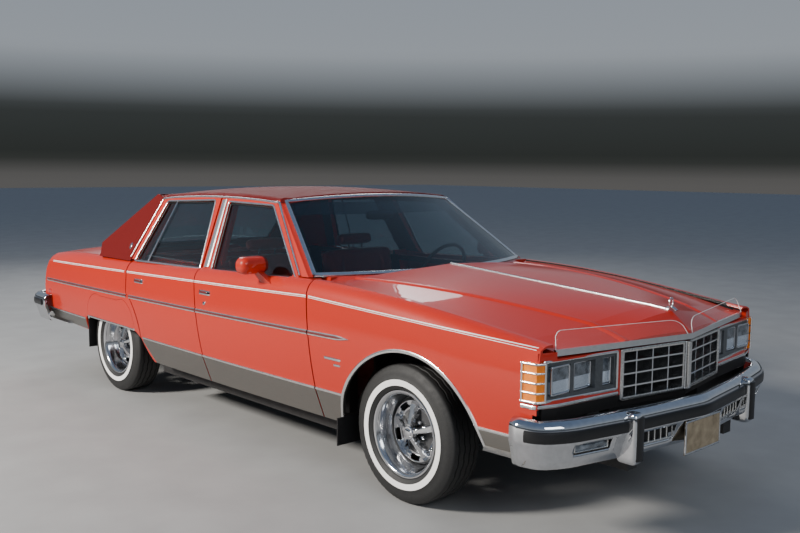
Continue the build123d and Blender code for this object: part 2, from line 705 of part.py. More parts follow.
def fender_skirt():
    """Skirt panel with a thick edge that hooks behind the edge of the quarter panel."""
    deep = body_side(SKIN + SEAT + SKIRT_HOOK, 500)
    whole = SIDE & quarter_outline(880, 1000)
    panel = (whole - SIDE_CORE) & skirt_outline(2)
    edge = (whole - deep) & (skirt_outline(2) - skirt_outline(16))
    hook = ((SIDE_SEAT & box(800, 1000, 800, 1700, REAR_LIP_Z, 700)) - deep) & (skirt_outline(-12) - skirt_outline(16))
    return panel + edge + hook


# Deck stations: Y, shoulder height, middle height.
DECK_STATIONS = [(1480, 934, 986), (2000, 922, 966), (2380, 890, 936)]
DECK_SKIN = 16


def deck():
    sections = []
    for y, edge_z, middle_z in DECK_STATIONS:
        edge_x = half_width(y) - SHOULDER_IN - 2
        sections.append(face(front_plane(y), (-edge_x, edge_z), (0, middle_z, edge_x, edge_z), (edge_x, edge_z - DECK_SKIN),
                             (0, middle_z - DECK_SKIN, -edge_x, edge_z - DECK_SKIN)))
    return loft(sections)


def trunk_outline(margin, z0=860, z1=1040):
    half = TRUNK_HALF - margin
    front = TRUNK_FRONT_Y + margin
    return plan_prism(z0, z1, (-half, front - 30), (0, front, half, front - 30), (half, 2500), (-half, 2500))


def trunk_lid():
    top = deck() & trunk_outline(DOOR_GAP) & box(-700, 700, 1600, 2352, 800, 1100)
    drop = side_prism(-TRUNK_HALF + DOOR_GAP, TRUNK_HALF - DOOR_GAP, (2330, 905), (2352, 900), (2410, 812), (2396, 806),
                      (2330, 890))
    hinge = gooseneck()
    return top + drop + hinge + mirrored(hinge)


TRUNK_HINGE_Y = 1600
TRUNK_HINGE_Z = 915
GOOSENECK_RADIUS = 157
GOOSENECK_WIDTH = 24
TRUNK_PIN_RADIUS = 6


def gooseneck():
    """Curved hinge arm that swings clear of the deck edge."""
    y, z = TRUNK_HINGE_Y, TRUNK_HINGE_Z
    inner = GOOSENECK_RADIUS - GOOSENECK_WIDTH / 2
    outer = GOOSENECK_RADIUS + GOOSENECK_WIDTH / 2
    up = radians(12)
    down = radians(-40)
    arc = side_prism(540, 560, (y, z - outer), (y + outer * cos(down), z + outer * sin(down),
                     y + outer * cos(up), z + outer * sin(up)), (y + inner * cos(up), z + inner * sin(up)),
                     (y + inner * cos(down), z + inner * sin(down), y, z - inner))
    arm = arc + box(540, 560, y - 12, y + 12, z - outer, z) + disc(536, 564, y, z, 16)
    return arm - disc(530, 570, y, z, TRUNK_PIN_RADIUS + SEAT)


def trunk_pivot():
    """Bracket under the rear shelf, with the pin of one lid arm."""
    y, z = TRUNK_HINGE_Y, TRUNK_HINGE_Z
    return box(570, 576, 1560, y + 16, z - 16, z + 15) + disc(534, 572, y, z, TRUNK_PIN_RADIUS)


def rear_body():
    left = quarter()
    surround = deck() & box(-900, 900, 1480, 2352, 800, 1100)
    corner = sail_corner(SEAT)
    under_roof = backlight_sheet(-SEAT, 900) - corner - mirrored(corner)
    surround = surround - trunk_outline(0) - under_roof
    tail = side_prism(-880, 880, (2340, 884), (2352, 884), (2420, 772), (2436, 640), (2436, 470), (2420, 470),
                      (2420, 638), (2404, 768))
    tail = tail - box(-TRUNK_HALF, TRUNK_HALF, 2300, 2500, 804, 1000) - box(-640, 640, 2300, 2500, 400, 561)
    tail = tail & (SIDE_CORE + box(-700, 700, 2300, 2500, 400, 1000) + mirrored(SIDE_CORE))
    return left + mirrored(left) + surround + tail


def tail_lamps():
    (high_y, high_z), (low_y, low_z) = TAIL_PROFILE[1:3]
    seat = 0.3
    lamp = side_prism(300, 868, (high_y + seat, high_z), (high_y + 14, high_z), (low_y + 26, low_z + 14),
                      (low_y + 26, low_z + 4), (low_y + seat, low_z + 4))
    return [lamp, mirrored(lamp)]


# Wheels

RIM_FACE_X = RIM_WIDTH / 2
DISH = 62
SPOKE_OUT = 158
RIM_LIP = 210
LUG_CIRCLE = 60
TYRE_WIDEST = 264
TREAD_HALF = 78


def tyre():
    """Tyre about the X axis, outer side towards +X."""
    bead = RIM_WIDTH / 2 - 6 - SEAT
    right = [(bead, RIM_RADIUS), (bead, RIM_LIP + SEAT), (TYRE_WIDTH / 2, TYRE_WIDEST), (TREAD_HALF, TYRE_RADIUS)]
    left = [(-x, radius) for x, radius in reversed(right)]
    return revolve(face(Plane.XY, right[0], *right[1:], *left), Axis.X)


def rim():
    """Five-spoke wheel with a deep trim ring, outer face towards +X."""
    half = RIM_FACE_X
    barrel = revolve(face(Plane.XY, (-half - 4, 178), (-half + 22, 166), (half - 70, 162), (half - 24, 174),
                          (half + 4, 192), (half + 4, RIM_LIP), (half - 6, RIM_LIP), (half - 6, RIM_RADIUS - 0.3),
                          (-half + 6, RIM_RADIUS - 0.3), (-half + 6, RIM_LIP), (-half - 4, RIM_LIP)), Axis.X)
    web = revolve(face(Plane.XY, (half - DISH - 26, 30), (half - DISH, 30), (half - DISH, 120),
                       (half - DISH - 20, 168), (half - DISH - 34, 168), (half - DISH - 26, 120)), Axis.X)
    hub = revolve(face(Plane.XY, (half - DISH - 26, 0), (half - 30, 0), (half - 30, 20), (half - 38, 31), (half - 40, 36),
                       (half - DISH, 48), (half - DISH - 26, 48)), Axis.X)
    wheel = barrel + web + hub
    spoke = loft([
        Plane((0, 30, 0), x_dir=(1, 0, 0), z_dir=(0, 1, 0)) * Pos(half - DISH + 4, 0) * Rectangle(30, 56),
        Plane((0, SPOKE_OUT, 0), x_dir=(1, 0, 0), z_dir=(0, 1, 0)) * Pos(half - DISH - 14, 0) * Rectangle(16, 34),
    ])
    slot = Pos(half - DISH - 15, 132, 0) * Box(70, 30, 58)
    for k in range(SPOKES):
        turn = k * 360 / SPOKES
        wheel += Rot(X=turn) * spoke
        wheel -= Rot(X=turn + 180 / SPOKES) * slot
    for k in range(SPOKES):
        wheel += Rot(X=(k + 0.5) * 360 / SPOKES) * Pos(0, LUG_CIRCLE, 0) * disc(half - DISH - 4, half - DISH + 18, 0, 0, 11)
    return wheel


def front_brake():
    """Disc, hub and caliper-side drum of a front wheel, inside the rim."""
    return disc(-60, RIM_FACE_X - DISH - 26, 0, 0, 34) + disc(-34, -12, 0, 0, 140)


def rear_brake():
    return disc(-58, RIM_FACE_X - DISH - 26, 0, 0, 40) + disc(-58, -4, 0, 0, 140)


# Steering knuckles: spindle, upright between the ball joints and steering arm.

ARM_LOW_Z = 202
ARM_HIGH_Z = 462
ARM_HALF = 12
ARM_BACK = 150
APRON_X = 482


def knuckle():
    low = ARM_LOW_Z + ARM_HALF + SEAT
    high = ARM_HIGH_Z - ARM_HALF - SEAT
    post = rod((KINGPIN_X, FRONT_AXLE_Y, low), (KINGPIN_X, FRONT_AXLE_Y, high), 20)
    spindle = disc(KINGPIN_X - 20, FRONT_WHEEL_X - 60.3, FRONT_AXLE_Y, AXLE_Z, 30)
    back = FRONT_AXLE_Y + ARM_BACK
    arm = side_prism(KINGPIN_X - 22, KINGPIN_X - 6, (FRONT_AXLE_Y, low + 60), (back, low + 54), (back, low + 30),
                     (FRONT_AXLE_Y, low + 26))
    return post + spindle + arm


# Frame and running gear

GEARBOX_REAR_Y = -560
TUNNEL_STEP_Y = GEARBOX_REAR_Y + 30
RAIL_TOP_Z = FLOOR_Z

# Crossmembers: middle Y, low Z, high Z, half length.
CROSSMEMBERS = [(-2380, 310, 390, 400), (-1000, 215, 290, 600), (820, 215, 290, 600), (2200, 480, 550, 500)]


def chassis_frame():
    """Perimeter frame: side rails that step in at the front and kick up over the rear axle, and crossmembers."""
    middle = box(560, 640, -1120, 860, RAIL_TOP_Z - 95, RAIL_TOP_Z)
    front_end = plan_y(FRONT_BUMPER_PLAN, 450) + 0.3
    front = box(380, 450, front_end, -1148, RAIL_TOP_Z, 395)
    front_turn = box(380, 640, -1210, -1100, RAIL_TOP_Z - 95, RAIL_TOP_Z)
    rear_end = plan_y(REAR_BUMPER_PLAN, 545) - 0.3
    rear = side_prism(470, 545, (780, 205), (900, 205), (1200, 470), (rear_end, 470), (rear_end, 560), (1215, 560),
                      (1060, 430), (780, 415))
    rear_turn = box(470, 640, 780, 870, RAIL_TOP_Z - 95, RAIL_TOP_Z)
    side = middle + front + front_turn + rear + rear_turn
    frame = side + mirrored(side)
    for y, z0, z1, half in CROSSMEMBERS:
        frame += box(-half, half, y - 35, y + 35, z0, z1)
    return frame + box(-450, 450, FRONT_AXLE_Y - 70, FRONT_AXLE_Y + 70, 210, 300)


def front_suspension():
    """Upper and lower arms, coil spring and shock of each side."""
    parts = []
    for z, inner, half in ((ARM_LOW_Z, 450, 110), (ARM_HIGH_Z, APRON_X, 90)):
        arm = plan_prism(z - ARM_HALF, z + ARM_HALF, (KINGPIN_X + 24, FRONT_AXLE_Y - 26),
                         (KINGPIN_X + 24, FRONT_AXLE_Y + 26), (inner, FRONT_AXLE_Y + half), (inner, FRONT_AXLE_Y - half))
        parts.append(arm)
    spring = rod((548, FRONT_AXLE_Y, ARM_LOW_Z + ARM_HALF), (548, FRONT_AXLE_Y, ARM_HIGH_Z - ARM_HALF), 52)
    arms = parts[0] + parts[1] + spring
    return [arms, mirrored(arms)]


def rear_axle():
    """Live axle with its banana-shaped differential, coil springs and lower arms."""
    axle = disc(-REAR_WHEEL_X + 58.3, REAR_WHEEL_X - 58.3, REAR_AXLE_Y, AXLE_Z, 38)
    axle += Pos(0, REAR_AXLE_Y, AXLE_Z) * Sphere(128)
    for x in (-500, 500):
        axle += rod((x, REAR_AXLE_Y, AXLE_Z), (x, REAR_AXLE_Y, 470), 55)
        axle += rod((x, REAR_AXLE_Y, AXLE_Z - 40), (x, 872, 270), 18)
    return axle + rod((0, GEARBOX_REAR_Y + 0.3, 340), (0, REAR_AXLE_Y - 100, AXLE_Z + 4), 36)


def engine_block():
    """Engine and gearbox as one plain block on the frame."""
    block = box(-270, 270, -2020, -1330, 300, 800)
    gearbox = rod((0, -1330, 361), (0, GEARBOX_REAR_Y, 361), 68)
    return chamfer(block.edges().filter_by(Axis.Y), 60) + gearbox


def radiator():
    return box(-330, 330, -2405, -2355, 390, 800)


def fuel_tank():
    tank = box(-430, 430, 1900, 2380, 335, 480)
    return fillet(tank.edges(), 30)


def exhaust():
    """Down pipe from the engine, muffler ahead of the axle and tail pipe."""
    x, z = 240, 215 - 26 - SEAT
    pipe = rod((x, -1400, RAIL_TOP_Z - 0.3), (x, -1400, z - 26), 26) + rod((x, -1400, z), (x, 880, z), 26)
    return pipe + rod((x, 880, z + 12), (x, 1180, z + 12), 58) + rod((x, 1180, z), (x, 2500, z + 40), 24)


HOUSING_LOW_Z = 470


def body_floor():
    """Floor pan, tunnel, dash wall, seat pan, trunk floor, inner wheel housings and engine-bay aprons."""
    z = FLOOR_Z
    top = z + FLOOR_SKIN
    floor = box(-POST_X, POST_X, -1080, 640, z, top) - box(-165, 165, -1300, 700, z - 10, z + 20)
    tunnel = front_prism(-1240, TUNNEL_STEP_Y, (-190, z), (-130, z + 190), (130, z + 190), (190, z), (170, z),
                         (118, z + 178), (-118, z + 178), (-170, z))
    tunnel += front_prism(TUNNEL_STEP_Y, 652, (-190, z), (-150, z + 102), (150, z + 102), (190, z), (170, z),
                          (138, z + 90), (-138, z + 90), (-170, z))
    tunnel += front_prism(TUNNEL_STEP_Y - 10, TUNNEL_STEP_Y, (-170, z + 80), (-130, z + 190), (130, z + 190),
                          (170, z + 80), (138, z + 90), (-138, z + 90))
    toe = side_prism(-POST_X, POST_X, (-1080, z), (-1240, z + 240), (-1240, 955), (-1228, 955), (-1228, z + 244),
                     (-1068, top))
    toe = toe - front_prism(-1300, -1000, (-170, z - 5), (-118, z + 178), (118, z + 178), (170, z - 5))
    sill = box(650, SILL_X + 30, -1080, 800, 205, 290) + box(650, SILL_X, -1080, 800, 290, z)
    pan = side_prism(-640, 640, (640, z), (640, 440), (1080, 470), (1200, 600), (1240, 640), (1240, 930), (1252, 930),
                     (1252, 632), (1210, 592), (1090, 459), (652, 428), (652, z))
    pan = pan - box(-138, 138, 630, 660, z - 5, z + 90)
    shelf = box(-POST_X, POST_X, 1240, 1570, 918, 930)
    trunk = side_prism(-640, 640, (1246, 633), (1690, 572), (2400, 572), (2400, 560), (1686, 560), (1246, 619))
    above = box(0, 1000, 0, 3000, HOUSING_LOW_Z, 1000)
    housing = disc(640, 652, REAR_AXLE_Y, 300, 390) & above
    cover = (disc(640, 900, REAR_AXLE_Y, 300, 390) - disc(652, 960, REAR_AXLE_Y, 300, 380)) & above
    apron = side_prism(470, APRON_X, (-2390, 395), (-2390, 780), (-1240, 900), (-1240, 395))
    base = box(60, 620, -440, 0, top, 420)
    support = box(APRON_X, 950, CORNER_LAMP_Y + 2, CORNER_LAMP_Y + 10, 400, 790) & SIDE_SEAT
    sides = sill + housing + cover + apron + base + support + trunk_pivot()
    return floor + tunnel + toe + pan + shelf + trunk + sides + mirrored(sides) + cowl()


FRONT_FLAP_Y = -1240.6
FLAP = 6


def mud_flaps():
    front = box(700, 944, FRONT_FLAP_Y - FLAP, FRONT_FLAP_Y, 200, 340)
    rear = box(690, 905, REAR_FLAP_Y - FLAP - SEAT, REAR_FLAP_Y - SEAT, 262, HOUSING_LOW_Z - SEAT)
    return [front, mirrored(front), rear, mirrored(rear)]


# Interior

DASH_HALF = 685
WHEEL_HUB = (385, -655, 925)
COLUMN_TILT = 24
HUB_DEPTH = 40


def seat_cushion(half, y0, y1, z0, z1, radius):
    cushion = box(-half, half, y0, y1, z0, z1)
    return fillet(cushion.edges(), radius)


SEAT_X = 370
SEAT_HALF = 310
BACK_HEIGHT = 545
BACK_LEAN = 14
HEADREST_HALF = 150
HEADREST_HEIGHT = 88
HEADREST_GAP = 11
POST_AT = 60


def front_seat():
    """Split bench: two cushions, two leaning backs, and headrests on posts."""
    parts = []
    low = BACK_HEIGHT + HEADREST_GAP
    for sign in (-1, 1):
        x = sign * SEAT_X
        cushion = Pos(X=x) * seat_cushion(SEAT_HALF, -480, 40, 420, 580, 40)
        back = seat_cushion(SEAT_HALF, -65, 65, 0, BACK_HEIGHT, 45)
        back += seat_cushion(HEADREST_HALF, -48, 48, low, low + HEADREST_HEIGHT, 36)
        for post in (-POST_AT, POST_AT):
            back += rod((post, 0, low - 30), (post, 0, low + 30), 6)
        parts.append(cushion + Pos(x, 40, 500) * Rot(X=-BACK_LEAN) * back)
    return parts


def rear_seat():
    cushion = seat_cushion(630, 620, 1100, 469, 610, 40)
    back = Pos(0, 1080, 583) * Rot(X=-16) * seat_cushion(630, -55, 55, -20, 350, 40)
    return cushion + back


def dashboard():
    panel = side_prism(-DASH_HALF, DASH_HALF, (-1228, 941), (-960, 941), (-900, 960), (-830, 945), (-800, 900),
                       (-830, 760), (-900, 640), (-1228, 640))
    return panel + steering_column()


def steering_wheel():
    """Rim, hub and two spokes about the column, which slopes down towards the front."""
    rim_ring = Torus(190, 11)
    hub = Cylinder(48, HUB_DEPTH)
    bar = Box(372, 34, 16)
    return Pos(*WHEEL_HUB) * Rot(X=-90 + COLUMN_TILT) * (rim_ring + hub + bar)


def steering_column():
    direction = Vector(0, -cos(radians(COLUMN_TILT)), -sin(radians(COLUMN_TILT)))
    start = Vector(*WHEEL_HUB) + direction * (HUB_DEPTH / 2 + SEAT)
    return rod(start, start + direction * 200, 32)


MIRROR_AT = (962, -535, 1044)
MIRROR_HALF = 90
MIRROR_HEIGHT = 94
MIRROR_FRONT = -50
MIRROR_BACK = 22
MIRROR_CORNER = 42
MIRROR_NOSE = 38

# Foot of the mirror, from the door's shoulder up into the head: X, Y, Z, size in X, size in Y.
MIRROR_FOOT = [(903, -612, 950, 44, 96), (938, -548, 1012, 34, 50)]


def door_mirror():
    """Door mirror: rounded head, flat behind, on a foot that slants down and forward."""
    half, high = MIRROR_HALF, MIRROR_HEIGHT / 2
    head = box(-half, half, MIRROR_FRONT, MIRROR_BACK, -high, high)
    head = fillet(head.edges().filter_by(Axis.Y), MIRROR_CORNER)
    head = fillet(head.faces().sort_by(Axis.Y)[0].edges(), MIRROR_NOSE)
    foot = loft([Pos(x, y, z) * Rectangle(width, length) for x, y, z, width, length in MIRROR_FOOT])
    return (Pos(*MIRROR_AT) * head) + foot


def hood_moulding():
    """Bright strip along the lower edge of the hood nose."""
    y, sweep_back = HOOD_STATIONS[-1][:2]
    half = 790
    strip = plan_strip([(0, y - 12), (half, y - 12 + sweep_back * half)], 11.7, HEADER_TOP_Z + 8, 846)
    return strip


# All pieces

os.makedirs("parts", exist_ok=True)

ROOF = roof()
WINDSHIELD = windshield()
FLOOR = body_floor()

save("body_floor", FLOOR)
save("roof", ROOF)
save("windshield", WINDSHIELD)
save("rear_window", rear_window())
frame_side = side_frame() - FLOOR
save("side_frames", frame_side, mirrored(frame_side))
save("rear_body", rear_body())
save("fender_skirts", fender_skirt(), mirrored(fender_skirt()))
wing = fender()
save("fenders", wing, mirrored(wing))
save("hood", hood())
save("hood_moulding", hood_moulding())
save("trunk_lid", trunk_lid())
save("header_panel", header_panel())
save("grille", grille())
save("lamp_bezels", *lamp_bezels())
save("headlamps", *headlamps())
save("corner_lamps", *corner_lamps())
save("tail_lamps", *tail_lamps())
save("front_bumper", front_bumper())
save("rear_bumper", bumper(REAR_BUMPER_PLAN, 1))
save("bumper_strips", rub_strip(FRONT_BUMPER_PLAN, -1), rub_strip(REAR_BUMPER_PLAN, 1))
save("plate_holder", plate_holder())
CHASSIS = chassis_frame()
save("chassis_frame", CHASSIS)
save("engine_block", engine_block())
save("radiator", radiator())
save("front_suspension", *front_suspension())
save("rear_axle", rear_axle() - CHASSIS)
save("fuel_tank", fuel_tank())
save("exhaust", exhaust())
save("mud_flaps", *mud_flaps())
save("front_seat", *front_seat())
save("rear_seat", rear_seat())
save("dashboard", dashboard())
save("steering_wheel", steering_wheel())

doors = {"front_door": front_door() + door_mirror(), "rear_door": rear_door()}
windows = {"front_door": FRONT_WINDOW, "rear_door": REAR_WINDOW}
wheels = {"front": (FRONT_WHEEL_X, FRONT_AXLE_Y, front_brake()), "rear": (REAR_WHEEL_X, REAR_AXLE_Y, rear_brake())}
wheel_rim = rim()
wheel_tyre = tyre()
for side, place in (("left", lambda shape: shape), ("right", mirrored)):
    for door, shape in doors.items():
        save(f"{door}_{side}", place(shape))
        save(f"{door}_glass_{side}", place(side_glass(windows[door])))
    for end, (x, y, brake) in wheels.items():
        save(f"rim_{end}_{side}", place(Pos(x, y, AXLE_Z) * (wheel_rim + brake)))
        save(f"tyre_{end}_{side}", place(Pos(x, y, AXLE_Z) * wheel_tyre))
    save(f"knuckle_{side}", place(knuckle()))
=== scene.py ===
"""Looks of a full-size four-door sedan, in metres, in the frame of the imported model.

X runs to the car's left, Y to its rear, Z up, with the origin on the ground below its middle.
"""
import json
import math
import bmesh
import bpy
from mathutils import Matrix, Vector
from mathutils.bvhtree import BVHTree


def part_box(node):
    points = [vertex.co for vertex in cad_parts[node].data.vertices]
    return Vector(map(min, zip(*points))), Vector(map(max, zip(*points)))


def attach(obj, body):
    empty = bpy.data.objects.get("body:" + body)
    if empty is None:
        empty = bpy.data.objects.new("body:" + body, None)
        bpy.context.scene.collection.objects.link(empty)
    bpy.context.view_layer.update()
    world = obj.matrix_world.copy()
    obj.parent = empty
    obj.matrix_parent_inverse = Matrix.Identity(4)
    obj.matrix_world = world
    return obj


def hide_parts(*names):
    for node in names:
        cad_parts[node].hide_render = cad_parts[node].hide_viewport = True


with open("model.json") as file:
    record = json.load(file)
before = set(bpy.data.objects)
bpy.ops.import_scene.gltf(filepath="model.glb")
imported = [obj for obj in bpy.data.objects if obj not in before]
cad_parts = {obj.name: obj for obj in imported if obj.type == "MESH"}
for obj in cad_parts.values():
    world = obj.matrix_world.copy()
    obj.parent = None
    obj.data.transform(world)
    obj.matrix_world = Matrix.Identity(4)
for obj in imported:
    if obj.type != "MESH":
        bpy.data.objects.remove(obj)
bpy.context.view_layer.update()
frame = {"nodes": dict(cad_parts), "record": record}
nodes = frame["nodes"]
CORNERS = [(end, side, sign) for end in ("front", "rear") for side, sign in (("left", 1), ("right", -1))]

# Camera solved from the photograph
CAMERA_AT = (-3.75, -4.688, 1.572)
CAMERA_YAW = 0.7521482
CAMERA_PITCH = -0.106502
CAMERA_ROLL = 0.0087329
LENS_MM = 41.26
SENSOR_MM = 36

# Side of the body
BELT_Z = 0.973
BELT_X = 0.876
SIDE_LEAN = 0.476
MOULDING_FRONT = (-1.326, 0.744)
MOULDING_REAR = (2.385, 0.693)
PINSTRIPE = ((0, 0.895), (1, 0.8705))
PINSTRIPE_FENDER = ((-2.441, 0.856), (-0.976, 0.919))
TRIM_TOP = 0.459
SEAM_GAP = 0.005
EMBLEM_AT = (1.085, 1.035)


def spaced(start, end, count):
    """Numbers from start to end in count equal steps."""
    return [start + (end - start) * i / count for i in range(count + 1)]


def add_object(name, data):
    made = bpy.data.objects.new(name, data)
    bpy.context.collection.objects.link(made)
    return made


# Materials

BELOW = "LESS_THAN"
ABOVE = "GREATER_THAN"
BOTH = "MULTIPLY"
EITHER = "MAXIMUM"


def material(name):
    made = bpy.data.materials.new(name)
    made.use_nodes = True
    return made, made.node_tree, made.node_tree.nodes["Principled BSDF"]


def set_inputs(tree, node, inputs):
    """Sets a node's inputs to values, or links sockets to them."""
    for name, value in inputs.items():
        if isinstance(value, bpy.types.NodeSocket):
            tree.links.new(value, node.inputs[name])
        else:
            node.inputs[name].default_value = value


def add_node(tree, kind, inputs):
    node = tree.nodes.new(f"ShaderNode{kind}")
    set_inputs(tree, node, inputs)
    return node


def noise(tree, scale, detail, stretch=None):
    """Noise in the object's own coordinates."""
    source = add_node(tree, "TexCoord", {}).outputs["Object"]
    if stretch:
        source = add_node(tree, "Mapping", {"Vector": source, "Scale": stretch}).outputs["Vector"]
    return add_node(tree, "TexNoise", {"Vector": source, "Scale": scale, "Detail": detail}).outputs["Fac"]


def wave(tree, scale, distortion):
    """Parallel ridges in the object's own coordinates."""
    source = add_node(tree, "TexCoord", {}).outputs["Object"]
    ridges = {"Vector": source, "Scale": scale, "Distortion": distortion}
    return add_node(tree, "TexWave", ridges).outputs["Fac"]


def stepped_ramp(tree, factor, steps):
    """Colour that follows a factor through (position, colour) steps."""
    ramp = add_node(tree, "ValToRGB", {"Fac": factor})
    stops = ramp.color_ramp.elements
    while len(stops) < len(steps):
        stops.new(0.5)
    for stop, (position, colour) in zip(stops, steps):
        stop.position = position
        stop.color = (*colour, 1)
    return ramp.outputs["Color"]


def colour_ramp(tree, factor, low, high):
    return stepped_ramp(tree, factor, ((0.3, low), (0.7, high)))


def bump(tree, height, strength, distance):
    inputs = {"Height": height, "Strength": strength, "Distance": distance}
    return add_node(tree, "Bump", inputs).outputs["Normal"]


def spread(tree, factor, low, high):
    """A number that varies between two values."""
    return add_node(tree, "MapRange", {"Value": factor, "To Min": low, "To Max": high}).outputs["Result"]


def maths(tree, operation, first, second):
    node = add_node(tree, "Math", {0: first, 1: second})
    node.operation = operation
    return node.outputs[0]


def between(tree, value, limits):
    """1 where a number lies between two limits, else 0."""
    return maths(tree, BOTH, maths(tree, ABOVE, value, limits[0]), maths(tree, BELOW, value, limits[1]))


def mixed(tree, factor, first, second):
    """First colour where the factor is 0, second where it is 1."""
    node = tree.nodes.new("ShaderNodeMix")
    node.data_type = "RGBA"
    tree.links.new(factor, node.inputs["Factor"])
    colours = [socket for socket in node.inputs if socket.type == "RGBA"]
    for value, socket in zip((first, second), colours):
        if isinstance(value, tuple):
            socket.default_value = (*value, 1)
        else:
            tree.links.new(value, socket)
    return [socket for socket in node.outputs if socket.type == "RGBA"][0]


def place(tree):
    """Position and facing in the car's own frame, each as separate numbers."""
    coords = add_node(tree, "TexCoord", {}).outputs
    return [add_node(tree, "SeparateXYZ", {"Vector": coords[name]}).outputs for name in ("Object", "Normal")]


PAINT_LOW = (0.4, 0.015, 0.0045)
PAINT_HIGH = (0.5, 0.021, 0.006)
PAINT_COAT = 0.6
# Dark undercoat of inner faces; below the nose moulding the same colour is painted shade
UNDERCOAT_AND_SHADE = (0.012, 0.011, 0.011)
CABIN_RED = (0.16, 0.012, 0.009)
NOSE_EDGE_Z = 0.612
LAMPS_END_Y = -2.36
CABIN_Y = (-1.24, 1.25)


def make_paint(name, inner=None, outside=-0.1, low_z=None, wing=False, pillar=False):
    """Body paint. Faces turned to the car's middle take the inner colour, as does all below low_z, where the
    dark is painted shade.

    A wing keeps its paint on top and in front of its lamps; a pillar loses it ahead of the door.
    """
    made, tree, shader = material(name)
    colour = colour_ramp(tree, noise(tree, 900, 2), PAINT_LOW, PAINT_HIGH)
    coat = PAINT_COAT
    if inner:
        at, facing = place(tree)
        mask = maths(tree, BELOW, maths(tree, "MULTIPLY", at["X"], facing["X"]), outside)
        if wing:
            mask = maths(tree, BOTH, mask, maths(tree, BELOW, facing["Z"], 0.25))
            under = maths(tree, BELOW, at["Z"], NOSE_EDGE_Z)
            behind = maths(tree, EITHER, maths(tree, ABOVE, at["Y"], LAMPS_END_Y), under)
            mask = maths(tree, BOTH, mask, behind)
        if pillar:
            ahead = maths(tree, BELOW, at["Y"], -1.03)
            mask = maths(tree, EITHER, mask, maths(tree, BOTH, ahead, maths(tree, BELOW, at["Z"], 0.9)))
        # Painted shade: all below low_z takes the dark inner colour
        if low_z:
            mask = maths(tree, EITHER, mask, maths(tree, BELOW, at["Z"], low_z))
        colour = mixed(tree, mask, colour, inner)
        coat = maths(tree, "MAXIMUM", maths(tree, "SUBTRACT", PAINT_COAT, mask), 0.0)
    set_inputs(tree, shader, {
        "Base Color": colour, "Roughness": 0.45, "Specular IOR Level": 0.25, "Coat Weight": coat,
        "Coat Roughness": 0.02, "Normal": bump(tree, noise(tree, 220, 1), 0.03, 0.0005),
    })
    return made


def make_floor_paint():
    """Paint on the cowl, carpet on the cabin floor and undercoat elsewhere."""
    made, tree, shader = material("floor_paint")
    at, facing = place(tree)
    paint = colour_ramp(tree, noise(tree, 900, 2), PAINT_LOW, PAINT_HIGH)
    carpet = colour_ramp(tree, noise(tree, 700, 4), (0.1, 0.01, 0.008), (0.2, 0.02, 0.014))
    inside = maths(tree, BOTH, between(tree, at["Y"], CABIN_Y), maths(tree, ABOVE, facing["Z"], 0.2))
    high = maths(tree, ABOVE, at["Z"], 0.9)
    set_inputs(tree, shader, {
        "Base Color": mixed(tree, high, mixed(tree, inside, UNDERCOAT_AND_SHADE, carpet), paint), "Coat Weight": high,
        "Roughness": spread(tree, noise(tree, 12, 3), 0.5, 0.8),
        "Normal": bump(tree, noise(tree, 300, 4), 0.1, 0.0008),
    })
    return made


def make_vinyl():
    made, tree, shader = material("roof_vinyl")
    grain = noise(tree, 620, 4)
    set_inputs(tree, shader, {
        "Base Color": colour_ramp(tree, grain, (0.085, 0.006, 0.006), (0.15, 0.011, 0.01)),
        "Roughness": spread(tree, noise(tree, 9, 3), 0.55, 0.68), "Specular IOR Level": 0.08,
        "Normal": bump(tree, grain, 0.5, 0.0012),
    })
    return made


def make_metal(name, colour, rough, brushed=None, grain=40.0, grain_depth=0.02):
    made, tree, shader = material(name)
    marks = noise(tree, grain, 4, brushed)
    darker = tuple(0.88 * part for part in colour)
    set_inputs(tree, shader, {
        "Metallic": 1.0, "Base Color": colour_ramp(tree, marks, darker, colour),
        "Roughness": spread(tree, marks, *rough), "Normal": bump(tree, marks, grain_depth, 0.0004),
    })
    return made


def make_solid(name, low, high, rough, scale, depth=0.15, height=0.0006, coat=0.0):
    """Rubber, plastic, enamel or cast surface with grain."""
    made, tree, shader = material(name)
    grain = noise(tree, scale, 4)
    set_inputs(tree, shader, {
        "Base Color": colour_ramp(tree, grain, low, high), "Normal": bump(tree, grain, depth, height),
        "Roughness": spread(tree, noise(tree, scale / 6, 3), *rough), "Coat Weight": coat,
    })
    return made


def make_clear(name, low, high, patches, depth, settings):
    """Glass or sheet that shows what lies behind it."""
    made, tree, shader = material(name)
    set_inputs(tree, shader, {
        "Base Color": colour_ramp(tree, noise(tree, patches, 2), low, high),
        "Normal": bump(tree, noise(tree, 12, 1), depth, 0.001), **settings,
    })
    return made


def make_lens(name, low, high, ribs, band):
    """Ribbed lens, seen as one surface, with a painted reflection: a bright band of the high colour between
    the two heights given as band.
    """
    made, tree, shader = material(name)
    at, _ = place(tree)
    # Painted reflection: between the two heights in band the lens takes the bright colour
    painted_reflection = between(tree, at["Z"], band)
    patches = colour_ramp(tree, noise(tree, 30, 3), low, tuple(0.5 * part for part in high))
    set_inputs(tree, shader, {
        "Base Color": mixed(tree, painted_reflection, patches, high), "Metallic": 0.85, "Roughness": 0.1,
        "Coat Weight": 1.0, "Coat Roughness": 0.01, "Normal": bump(tree, wave(tree, ribs, 0.4), 0.35, 0.0015),
    })
    return made


def make_cloth():
    made, tree, shader = material("seat_cloth")
    set_inputs(tree, shader, {
        "Base Color": colour_ramp(tree, noise(tree, 300, 3), (0.2, 0.016, 0.012), (0.34, 0.03, 0.02)),
        "Roughness": 0.85, "Sheen Weight": 0.35, "Normal": bump(tree, wave(tree, 260, 1.5), 0.3, 0.0006),
    })
    return made


